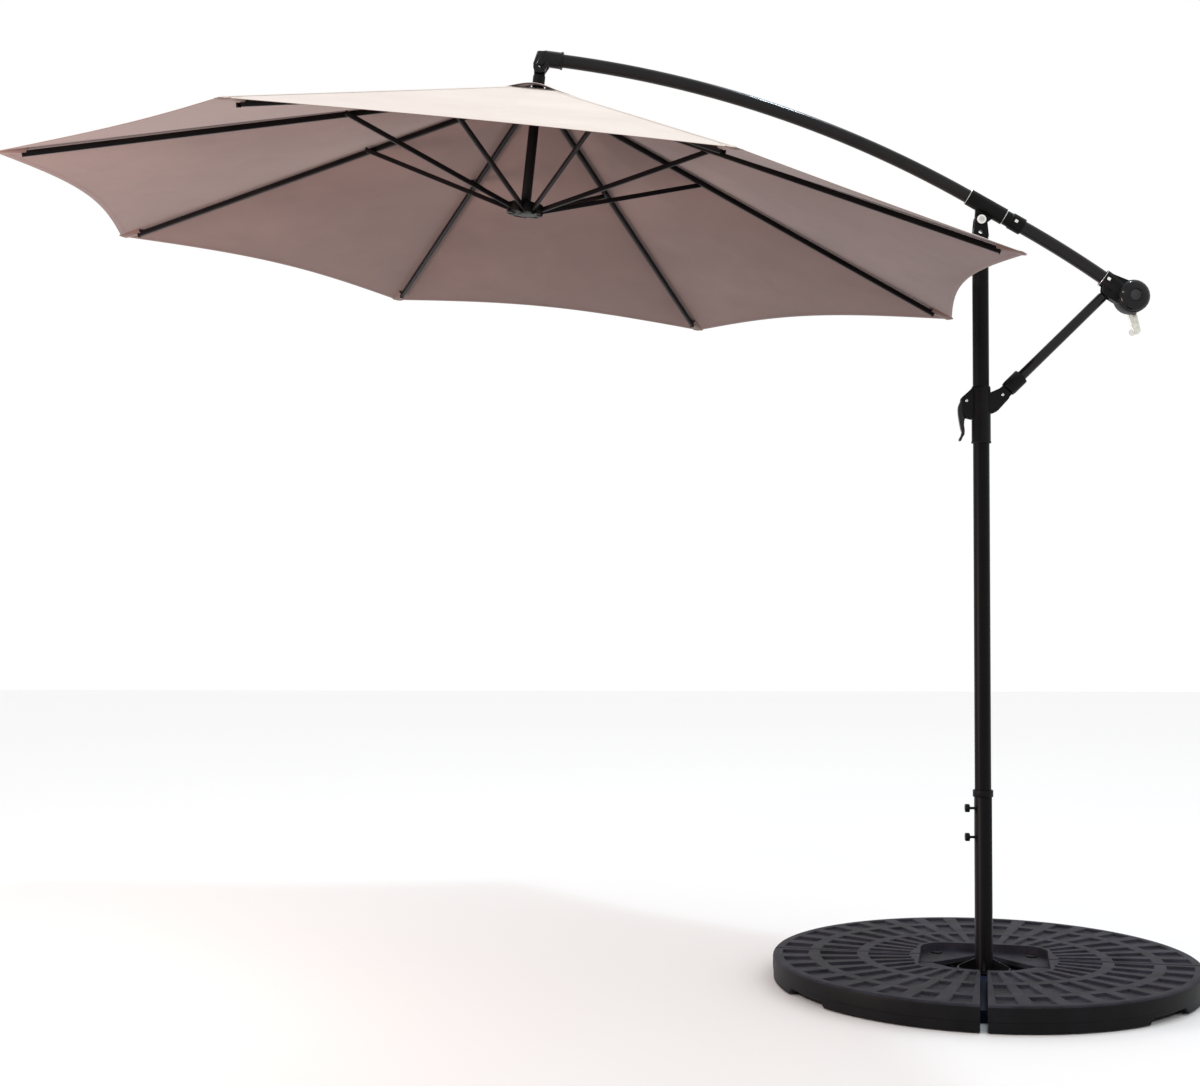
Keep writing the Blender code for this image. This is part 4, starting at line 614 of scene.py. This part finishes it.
# rivets, buttons, rings and bolts; each "out" is how far its face stands from the middle plane
trim = {"rivet": 0.0042, "armRivetOut": 0.0166, "sliderRivetOut": 0.0162, "leverRivetOut": 0.0137,
        "badgeOut": 0.0473, "boltOut": 0.0242, "leverToStrutPin": (0.1057, 0, 0.017),
        "sleeveGap": 0.0003, "sleeveWall": 0.0042, "bandFromMiddle": 0.0612, "button": (0.0100, 0.0024, 0.0085)}
front, back = Vector((0, -1, 0)), Vector((0, 1, 0))


def band(point, direction, radius, width):
    # a thin ring round a tube
    profile = [(radius - 0.001, -width / 2), (radius, -width / 2), (radius + 0.0003, 0), (radius, width / 2),
               (radius - 0.001, width / 2), (radius - 0.001, -width / 2)]
    return turned(profile, 48, facing(point, direction))


def pairOfRivets(point, out):
    return [rivet(point + side * out, side, trim["rivet"]) for side in (front, back)]


newPiece("armRivets", pairOfRivets(pins["strut_swing"], trim["armRivetOut"]), nylon, "arm")
newPiece("elbowRivets", pairOfRivets(pins["canopy_hang"], trim["armRivetOut"]), zinc, "arm")

badgeEdge = [(0, 0.0006), (0.0150, 0.0006), (0.0158, 0), (0.0158, -0.0008), (0, -0.0008)]
badgeSpot = facing(pins["crank_turn"] + front * trim["badgeOut"], front)
newPiece("winchBadge", [turned(badgeEdge, 40, badgeSpot)], badgeAbs, "arm")

strutPin = pins["lever_squeeze"] + Vector(trim["leverToStrutPin"])  # the strut's open end on the slider
sliderRivets = pairOfRivets(strutPin, trim["sliderRivetOut"])
sliderRivets += pairOfRivets(pins["lever_squeeze"], trim["leverRivetOut"])
newPiece("sliderRivets", sliderRivets, zinc, "slider")

sleeveRadius = arm["radius"] + trim["sleeveGap"] + trim["sleeveWall"]
bands = [band(sleeveMid + sleeveDir * along, sleeveDir, sleeveRadius, 0.0016)
         for along in (-trim["bandFromMiddle"], trim["bandFromMiddle"])]
bands.append(band(tailEnd + tailDir * 0.0008, tailDir, 0.0262, 0.0014))
newPiece("sleeveBands", bands, zinc, "arm")

buttonTurn = Matrix.Rotation(radians(arm["sleeveSlope"]), 4, "Y")
buttonSpots = [couplerStart + sleeveDir * 0.033 + front * 0.0272, tailEnd + tailDir * 0.014 + front * 0.0268]
buttons = [block(trim["button"], Matrix.Translation(spot) @ buttonTurn, 0.0008) for spot in buttonSpots]
newPiece("armButtons", buttons, paleAbs, "arm")

ringEdge = [(0.0078, 0.0004), (0.0088, 0.0030), (0.0125, 0.0030), (0.0133, 0.0018), (0.0133, -0.0010),
            (0.0078, -0.0010), (0.0078, 0.0004)]
boltFront = facing(pins["arm_tilt"] + front * trim["boltOut"], front)
newPiece("pivotBoltRing", [turned(ringEdge, 48, boltFront)], paleAbs, "mast")
print("small parts made")
